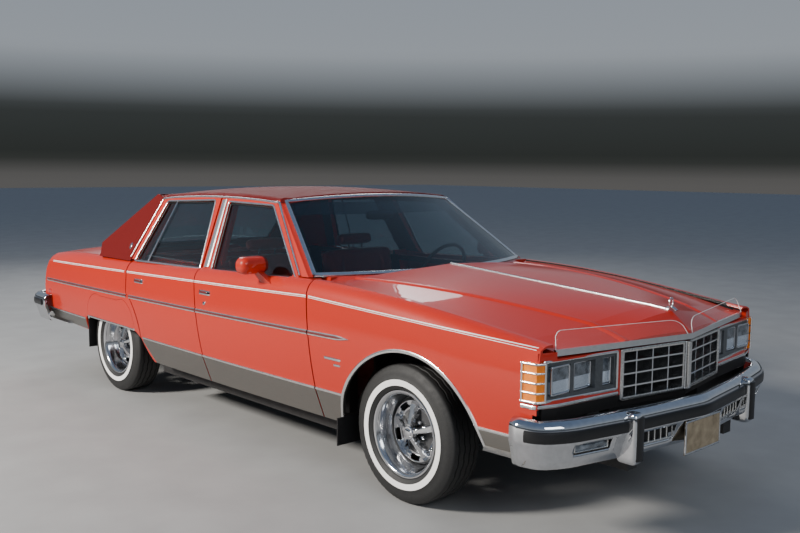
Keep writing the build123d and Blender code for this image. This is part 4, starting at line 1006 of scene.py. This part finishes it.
def make_lamps():
    front_frame("lamp_frame", (0.437, 0.86, *LAMP_Z), NOSE_PLAN, 0, 0.013, 0.006, TRIM)
    for number, span in enumerate(LENSES):
        rim = inset(*span, *LENS_Z, 0.004)
        front_frame(f"lens_rim_{number + 1}", rim, LENS_PLAN, 0.001, 0.009, 0.004, CHROME, radius=0.012)
    inner = (0.453, 0.519, *LENS_Z)
    front_sheet("inner_lens", inset(*inner, 0.001), NOSE_PLAN, -0.022, 0.005, LENS)
    front_frame("inner_lens_rim", inset(*inner, 0.003), NOSE_PLAN, -0.02, 0.007, 0.004, CHROME)
    tiers = spaced(*LAMP_Z, 4)
    bars = [corner_strip(z, 0.008, 0.005) for z in tiers[1:-1]]
    bars += [corner_strip(z, 0.01, 0.006) for z in (LAMP_Z[0] + 0.003, LAMP_Z[1] - 0.003)]
    for x, y, normal in ((0.87, -2.4655, (0.42, -0.91, 0)), (0.9125, -2.3795, (1, -0.09, 0))):
        bars.append(ribbon(one_way([(x, y, z) for z in tiers], normal), 0.01, 0.006))
    both_sides("corner_lamp_bars", merged(bars), TRIM)

    skin = SKINS["fender"][0]
    line = front_line([(x, LOW_MOULDING_Z) for x in spaced(0.432, 0.898, 24)], NOSE_PLAN, 0.001)
    for y in spaced(-2.43, -2.37, 5):
        hit, normal = skin.side(y, LOW_MOULDING_Z)
        if hit is not None and hit.x > line[-1][0].x:
            line.append((hit, normal))
    both_sides("nose_moulding", ribbon(line, 0.017, 0.007), TRIM)


def make_grille_trim():
    front_frame("grille_frame", (0.024, 0.412, 0.594, 0.804), GRILLE_PLAN, 0.001, 0.016, 0.004, SATIN)
    beak = [(0, -2.604, z) for z in spaced(0.592, 0.807, 10)]
    add_piece("grille_beak", ribbon(one_way(beak, AHEAD), 0.03, 0.005), SATIN)
    places = ((-0.42, -0.2, 0, 0.2, 0.42), (0.575, 0.69, 0.81))
    add_piece("grille_shadow", surface(*places, lambda x, z: (x, -2.44 + 0.02 * abs(x), z)), DARK)


# Bumpers; the section is (depth, z)

REAR_PLAN = [(0.0, 2.65), (0.43, 2.644), (0.8, 2.606), (0.892, 2.545), (0.908, 2.295)]
BUMPER_SECTION = [
    (0.002, 0.378), (0.014, 0.375), (0.02, 0.382), (0.029, 0.412), (0.035, 0.432), (0.044, 0.462),
    (0.051, 0.478), (0.054, 0.486), (0.054, 0.546), (0.05, 0.56), (0.034, 0.573), (0.02, 0.577), (0, 0.576),
]
BUMPER_OPENINGS = ((0.2, 0.44, 0.412, 0.478), (0.59, 0.78, 0.432, 0.478))
STRIP_DEPTH = 0.0555
STRIP_Z = 0.515
RECESS_HALF = 0.16
RECESS_TOP = 0.48
RECESS_Y = -2.664


def bumper_line(plan, way):
    """Points and outward normals along the face line of a bumper, round both ends."""
    whole = [(-x, y) for x, y in reversed(plan)] + plan[1:]
    corners = rounded(whole, 0.042, closed=False, steps=6)
    stops = [x for opening in BUMPER_OPENINGS for x in opening[:2]] + [RECESS_HALF, RECESS_HALF + 0.001]
    stops += [-x for x in stops]
    points = []
    for start, end in zip(corners, corners[1:]):
        count = max(1, int((Vector(end) - Vector(start)).length / 0.03))
        shares = {k / count for k in range(count)}
        if end[0] != start[0]:
            shares |= {(x - start[0]) / (end[0] - start[0]) for x in stops if start[0] < x < end[0]}
        points += [Vector(start).lerp(Vector(end), share).to_3d() for share in sorted(shares)]
    return outward(points + [Vector(corners[-1]).to_3d()], way)


def bumper_shell(line, openings, recess):
    points = []
    for at, normal in line:
        for depth, z in BUMPER_SECTION:
            spot = at + normal * depth
            recessed = recess and abs(at.x) <= RECESS_HALF + 1e-5 and z < RECESS_TOP
            points.append(Vector((spot.x, max(spot.y, RECESS_Y) if recessed else spot.y, z)))
    rows = len(BUMPER_SECTION)
    faces = []
    for face in grid_faces(len(line), rows):
        i, j = divmod(face[0], rows)
        x = abs(line[i][0].x + line[i + 1][0].x) / 2
        z = (BUMPER_SECTION[j][1] + BUMPER_SECTION[j + 1][1]) / 2
        if not any(x0 < x < x1 and z0 < z < z1 for x0, x1, z0, z1 in openings):
            faces.append(face)
    return points, faces


def make_bumpers():
    strips = []
    for end, way, plan, guard in (("front", -1, BUMPER_PLAN, 2.6205), ("rear", 1, REAR_PLAN, 2.677)):
        front = end == "front"
        line = bumper_line(plan, way)
        parts = [bumper_shell(line, BUMPER_OPENINGS if front else (), front)]
        for sign in (-1, 1):
            parts.append(pillow((sign * GUARD_X, way * guard, 0.463), (0.031, 0.049, 0.1095), power=7))
        bar = add_piece(f"bright_{end}_bumper", merged(parts), CHROME)
        thicken(bar, 0.003)
        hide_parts(f"{end}_bumper")
        face = [(Vector((at.x + out.x * STRIP_DEPTH, at.y + out.y * STRIP_DEPTH, STRIP_Z)), out)
                for at, out in line[2:-2]]
        strips.append(ribbon(face, 0.05, 0.0085))
    strip = add_piece("impact_strips", merged(strips), RUBBER)
    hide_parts("bumper_strips")


def make_bumper_detail():
    front_sheet("bumper_lamp", (0.592, 0.778, 0.434, 0.476), BUMPER_PLAN, 0.022, 0.006, LENS)
    front_frame("bumper_lamp_rim", (0.596, 0.774, 0.437, 0.473), BUMPER_PLAN, 0.024, 0.006, 0.004, SATIN)
    front_frame("air_grille_rim", (0.206, 0.434, 0.417, 0.473), BUMPER_PLAN, 0.026, 0.008, 0.004, SATIN)
    front_sheet("air_grille_back", (0.202, 0.438, 0.413, 0.477), BUMPER_PLAN, 0.006, 0, DARK)
    bars = []
    for x in spaced(0.202, 0.438, 6)[1:-1]:
        y = plan_at(BUMPER_PLAN, x)[0] - 0.024
        bars.append(ribbon(one_way([(x, y, z) for z in spaced(0.418, 0.472, 6)], AHEAD), 0.008, 0.005))
    both_sides("air_grille_bars", merged(bars), SATIN)
    for end, way, depth, proud in (("front", -1, 2.6695, 0.009), ("rear", 1, 2.725, 0.0028)):
        pad = [(GUARD_X, way * depth, z) for z in spaced(0.372, 0.556, 8)]
        both_sides(f"guard_pad_{end}", ribbon(one_way(pad, (0, way, 0)), 0.048, proud), RUBBER)
    rim = [(x, -2.684, z) for x, z in rounded(rectangle(-0.149, 0.149, 0.33, 0.474), 0.008)]
    add_piece("plate_frame", ribbon(one_way(rim, AHEAD), 0.01, 0.005), CHROME)
    front_sheet("nose_corner", (0.8, 0.889, 0.806, 0.842), NOSE_PLAN, 0, 0.003, PAINT)


# Seats

SEAT_PRESSURE = 4
SEAT_FRAMES = 20
SEAT_VOXEL = 0.012
FRONT_CHANNELS = (-0.55, -0.18, 0.18, 0.55)
REAR_CHANNELS = (-0.72, -0.43, -0.14, 0.14, 0.43, 0.72)


def soft_block(size, channels, cap):
    """Points and faces of a cushion, swollen by air pressure between its sewn channels."""
    mesh = bpy.data.meshes.new("soft")
    work = bmesh.new()
    smaller = [value - cap for value in size]
    bmesh.ops.create_cube(work, size=1, matrix=Matrix.Diagonal((*smaller, 1)))
    bmesh.ops.bevel(work, geom=list(work.edges), offset=min(size) * 0.3, segments=4, profile=0.5,
                    affect="EDGES")
    work.to_mesh(mesh)
    work.free()
    block = add_object("soft", mesh)
    grid = block.modifiers.new("grid", "REMESH")
    grid.mode = "VOXEL"
    grid.voxel_size = SEAT_VOXEL
    even = bpy.data.meshes.new_from_object(block.evaluated_get(bpy.context.evaluated_depsgraph_get()))
    bpy.data.objects.remove(block)
    start = [vertex.co.copy() for vertex in even.vertices]
    faces = [tuple(polygon.vertices) for polygon in even.polygons]
    block = add_object("soft", even)
    sewn = block.vertex_groups.new(name="sewn")
    half = size[0] / 2 - cap / 2
    for index, at in enumerate(start):
        if min([abs(at.x - half * share) for share in channels], default=1.0) < SEAT_VOXEL * 0.6:
            sewn.add([index], 1.0, "REPLACE")
    cloth = block.modifiers.new("cloth", "CLOTH")
    cloth.settings.use_pressure = True
    cloth.settings.uniform_pressure_force = SEAT_PRESSURE
    cloth.settings.effector_weights.gravity = 0
    cloth.settings.vertex_group_mass = "sewn"
    cloth.point_cache.frame_end = SEAT_FRAMES
    for step in range(1, SEAT_FRAMES + 1):
        bpy.context.scene.frame_set(step)
    swollen = block.evaluated_get(bpy.context.evaluated_depsgraph_get()).to_mesh()
    points = []
    for before, vertex in zip(start, swollen.vertices):
        moved = vertex.co - before
        if moved.length > cap / 2:
            moved = moved.normalized() * cap / 2
        points.append(before + moved)
    bpy.data.objects.remove(block)
    bpy.context.scene.frame_set(1)
    return points, faces


def seat_piece(name, node, blocks):
    """Cushions of one seat: each has a size, a middle, a lean in degrees, sewn channels and a cap."""
    parts = []
    for size, middle, lean, channels, cap in blocks:
        points, faces = soft_block(size, channels, cap)
        turn = Matrix.Translation(middle) @ Matrix.Rotation(math.radians(-lean), 4, "X")
        parts.append(([turn @ point for point in points], faces))
    seat = add_piece(name, merged(parts), CLOTH)
    seat.modifiers.new("finer", "SUBSURF").render_levels = 1
    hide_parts(node)


def leaning(base, lean, up):
    """Place at a height along a back that leans rearwards from its base."""
    turn = math.radians(lean)
    return (base[0], base[1] + up * math.sin(turn), base[2] + up * math.cos(turn))


def make_seats():
    lean = 14
    blocks = []
    posts = []
    for x in (-0.37, 0.37):
        base = (x, 0.04, 0.5)
        blocks.append(((0.612, 0.512, 0.152), (x, -0.22, 0.5), 0, FRONT_CHANNELS, 0.024))
        blocks.append(((0.612, 0.124, 0.54), leaning(base, lean, 0.272), lean, FRONT_CHANNELS, 0.024))
        blocks.append(((0.294, 0.092, 0.086), leaning(base, lean, 0.6), lean, (), 0.014))
        for shift in (-0.06, 0.06):
            at = leaning((x + shift, 0.04, 0.5), lean, 0.548)
            posts.append(pillow(at, (0.006, 0.006, 0.022), power=3))
    seat_piece("soft_front_seat", "front_seat", blocks)
    add_piece("headrest_posts", merged(posts), CHROME)
    lean = 16
    blocks = [((1.252, 0.472, 0.134), (0, 0.86, 0.5395), 0, REAR_CHANNELS, 0.022),
              ((1.252, 0.104, 0.362), leaning((0, 1.08, 0.583), lean, 0.165), lean, REAR_CHANNELS, 0.022)]
    seat_piece("soft_rear_seat", "rear_seat", blocks)


# Hood trim

HOOD_MIDDLE_X = 0.0004


def make_hood_trim():
    skin = Skin("hood")
    line = [skin.top(HOOD_MIDDLE_X, y) for y in spaced(-1.105, -2.49, 59)]
    add_piece("hood_strip", ribbon(line, 0.018, 0.006), TRIM, "hood")

    base = skin.top(HOOD_MIDDLE_X, -2.5)[0]
    turns = 24
    sides = 8
    points = []
    faces = []
    for k in range(turns):
        turn = 2 * math.pi * k / turns
        following = (k + 1) % turns * sides
        for j in range(sides):
            around = 2 * math.pi * j / sides
            reach = 0.0215 + 0.004 * math.cos(around)
            spot = (reach * math.sin(turn) * 0.72, 0.004 * math.sin(around), 0.036 + reach * math.cos(turn))
            points.append(base + Vector(spot))
            beside = (j + 1) % sides
            faces.append((k * sides + j, k * sides + beside, following + beside, following + j))
    add_piece("ornament_ring", (points, faces), CHROME, "hood")
    stem = [base + Vector((0, -0.03 + 0.06 * t, 0.001 + 0.014 * math.sin(math.pi * t)))
            for t in spaced(0, 1, 15)]
    add_piece("ornament_base", ribbon(one_way(stem, (0, 0, 1)), 0.018, 0.006), CHROME, "hood")


def make_bug_shield():
    """Two clear sheets that stand on the moulding at the hood's front edge, with a painted highlight along
    their cut edges.
    """
    def spot(t, s):
        x = 0.02 + 0.765 * t
        edge = min(1.0, t / 0.12, (1 - t) / 0.07)
        rise = (0.062 + 0.012 * t) * math.sqrt(max(0.0, 1 - (1 - edge) ** 2))
        return Vector((x, -2.605 + 0.2 * x + 0.35 * rise * s * s, 0.846 + rise * s))

    places = spaced(0, 1, 48)
    both_sides("bug_shield", surface(places, spaced(0, 1, 5), spot), ACRYLIC, "hood")
    # Painted highlight: a thin white strip stands for the glint on the sheets' cut edges
    painted_edge_glint = one_way([spot(t, 1) for t in places], (0, -1, 0.4))
    both_sides("bug_shield_edge_glint", ribbon(painted_edge_glint, 0.0022, 0.0012), STRIPE, "hood")


# Cabin and mirrors

def make_mirrors():
    glass = pillow((0.962, -0.5135, 1.044), (0.078, 0.0025, 0.036))
    both_sides("mirror_glass", glass, CHROME, "front_door_{}")
    add_piece("inside_mirror", pillow((-0.06, -0.56, 1.29), (0.108, 0.012, 0.028)), DARK)
    add_piece("inside_mirror_glass", pillow((-0.06, -0.546, 1.29), (0.1, 0.002, 0.023)), CHROME)
    stem = [(-0.06, y, z) for y, z in zip(spaced(-0.575, -0.551, 4), spaced(1.3, 1.35, 4))]
    add_piece("inside_mirror_stem", ribbon(one_way(stem, AHEAD), 0.014, 0.007), DARK)


def make_windshield_shade():
    """Dark band along the top of the windshield."""
    def spot(u, z):
        return windshield_point(u * (frame_x(z) - 0.045), z, -0.009)[0]

    add_piece("windshield_shade", surface(spaced(-1, 1, 24), spaced(1.312, 1.378, 6), spot), SHADE)


# Camera, light and floor

def add_camera():
    data = bpy.data.cameras.new("camera")
    data.lens = LENS_MM
    data.sensor_width = SENSOR_MM
    camera = add_object("camera", data)
    level = math.cos(CAMERA_PITCH)
    ahead = Vector((math.sin(CAMERA_YAW) * level, math.cos(CAMERA_YAW) * level, math.sin(CAMERA_PITCH)))
    right = Vector((math.cos(CAMERA_YAW), -math.sin(CAMERA_YAW), 0))
    up = right.cross(ahead)
    tilted_right = math.cos(CAMERA_ROLL) * right + math.sin(CAMERA_ROLL) * up
    tilted_up = -math.sin(CAMERA_ROLL) * right + math.cos(CAMERA_ROLL) * up
    turn = Matrix((tilted_right, tilted_up, -ahead)).transposed()
    camera.matrix_world = Matrix.Translation(CAMERA_AT) @ turn.to_4x4()
    bpy.context.scene.camera = camera


def add_light(name, at, size, power, colour=(1, 1, 1)):
    """A rectangular lamp turned to the middle of the car."""
    data = bpy.data.lights.new(name, "AREA")
    data.shape = "RECTANGLE"
    data.size, data.size_y = size
    data.energy = power
    data.color = colour
    lamp = add_object(name, data)
    lamp.location = at
    lamp.rotation_euler = (Vector((0, 0, 0.6)) - Vector(at)).to_track_quat("-Z", "Y").to_euler()


# Colours of the surroundings from straight down (0) over the horizon (0.5) to straight up (1)
SKY = [(0.0, (0.2, 0.195, 0.19)), (0.495, (0.2, 0.195, 0.19)), (0.505, (0.055, 0.062, 0.058)),
       (0.53, (0.075, 0.085, 0.085)), (0.56, (0.62, 0.68, 0.75)), (0.7, (0.42, 0.52, 0.68)),
       (1.0, (0.2, 0.3, 0.5))]
FLOOR_HALF = 60


def add_studio():
    world = bpy.data.worlds.new("studio")
    bpy.context.scene.world = world
    world.use_nodes = True
    tree = world.node_tree
    coords = add_node(tree, "TexCoord", {})
    split = add_node(tree, "SeparateXYZ", {"Vector": coords.outputs["Generated"]})
    height = add_node(tree, "MapRange", {"Value": split.outputs["Z"], "From Min": -1})
    sky = stepped_ramp(tree, height.outputs["Result"], SKY)
    set_inputs(tree, tree.nodes["Background"], {"Color": sky, "Strength": 0.5})
    add_light("key", (-8.6, 2.0, 5.4), (1.6, 1.6), 1750, (1.0, 0.95, 0.88))
    add_light("fill", (-3.0, -9.0, 5.0), (5, 3), 260, (0.94, 0.97, 1.0))
    add_light("back", (4.0, 7.0, 5.0), (6, 3), 260)

    floor = bpy.data.meshes.new("floor")
    corners = [(x * FLOOR_HALF, y * FLOOR_HALF, 0) for x, y in ((-1, -1), (1, -1), (1, 1), (-1, 1))]
    floor.from_pydata(corners, [], [(0, 1, 2, 3)])
    pale = make_solid("studio_floor", (0.29, 0.29, 0.285), (0.33, 0.33, 0.325), (0.7, 0.8), 3, 0.02)
    floor.materials.append(pale)
    add_object("floor", floor)


dress_nodes()
make_side_trim()
make_wheel_lips()
make_window_trim()
make_screen_trim()
make_tyres()
for corner in CORNERS:
    make_wheel(*corner)
make_skirt_lip()
make_handles()
make_lamps()
make_grille_trim()
make_bumpers()
make_bumper_detail()
make_seats()
make_hood_trim()
make_bug_shield()
make_mirrors()
make_windshield_shade()
add_camera()
add_studio()
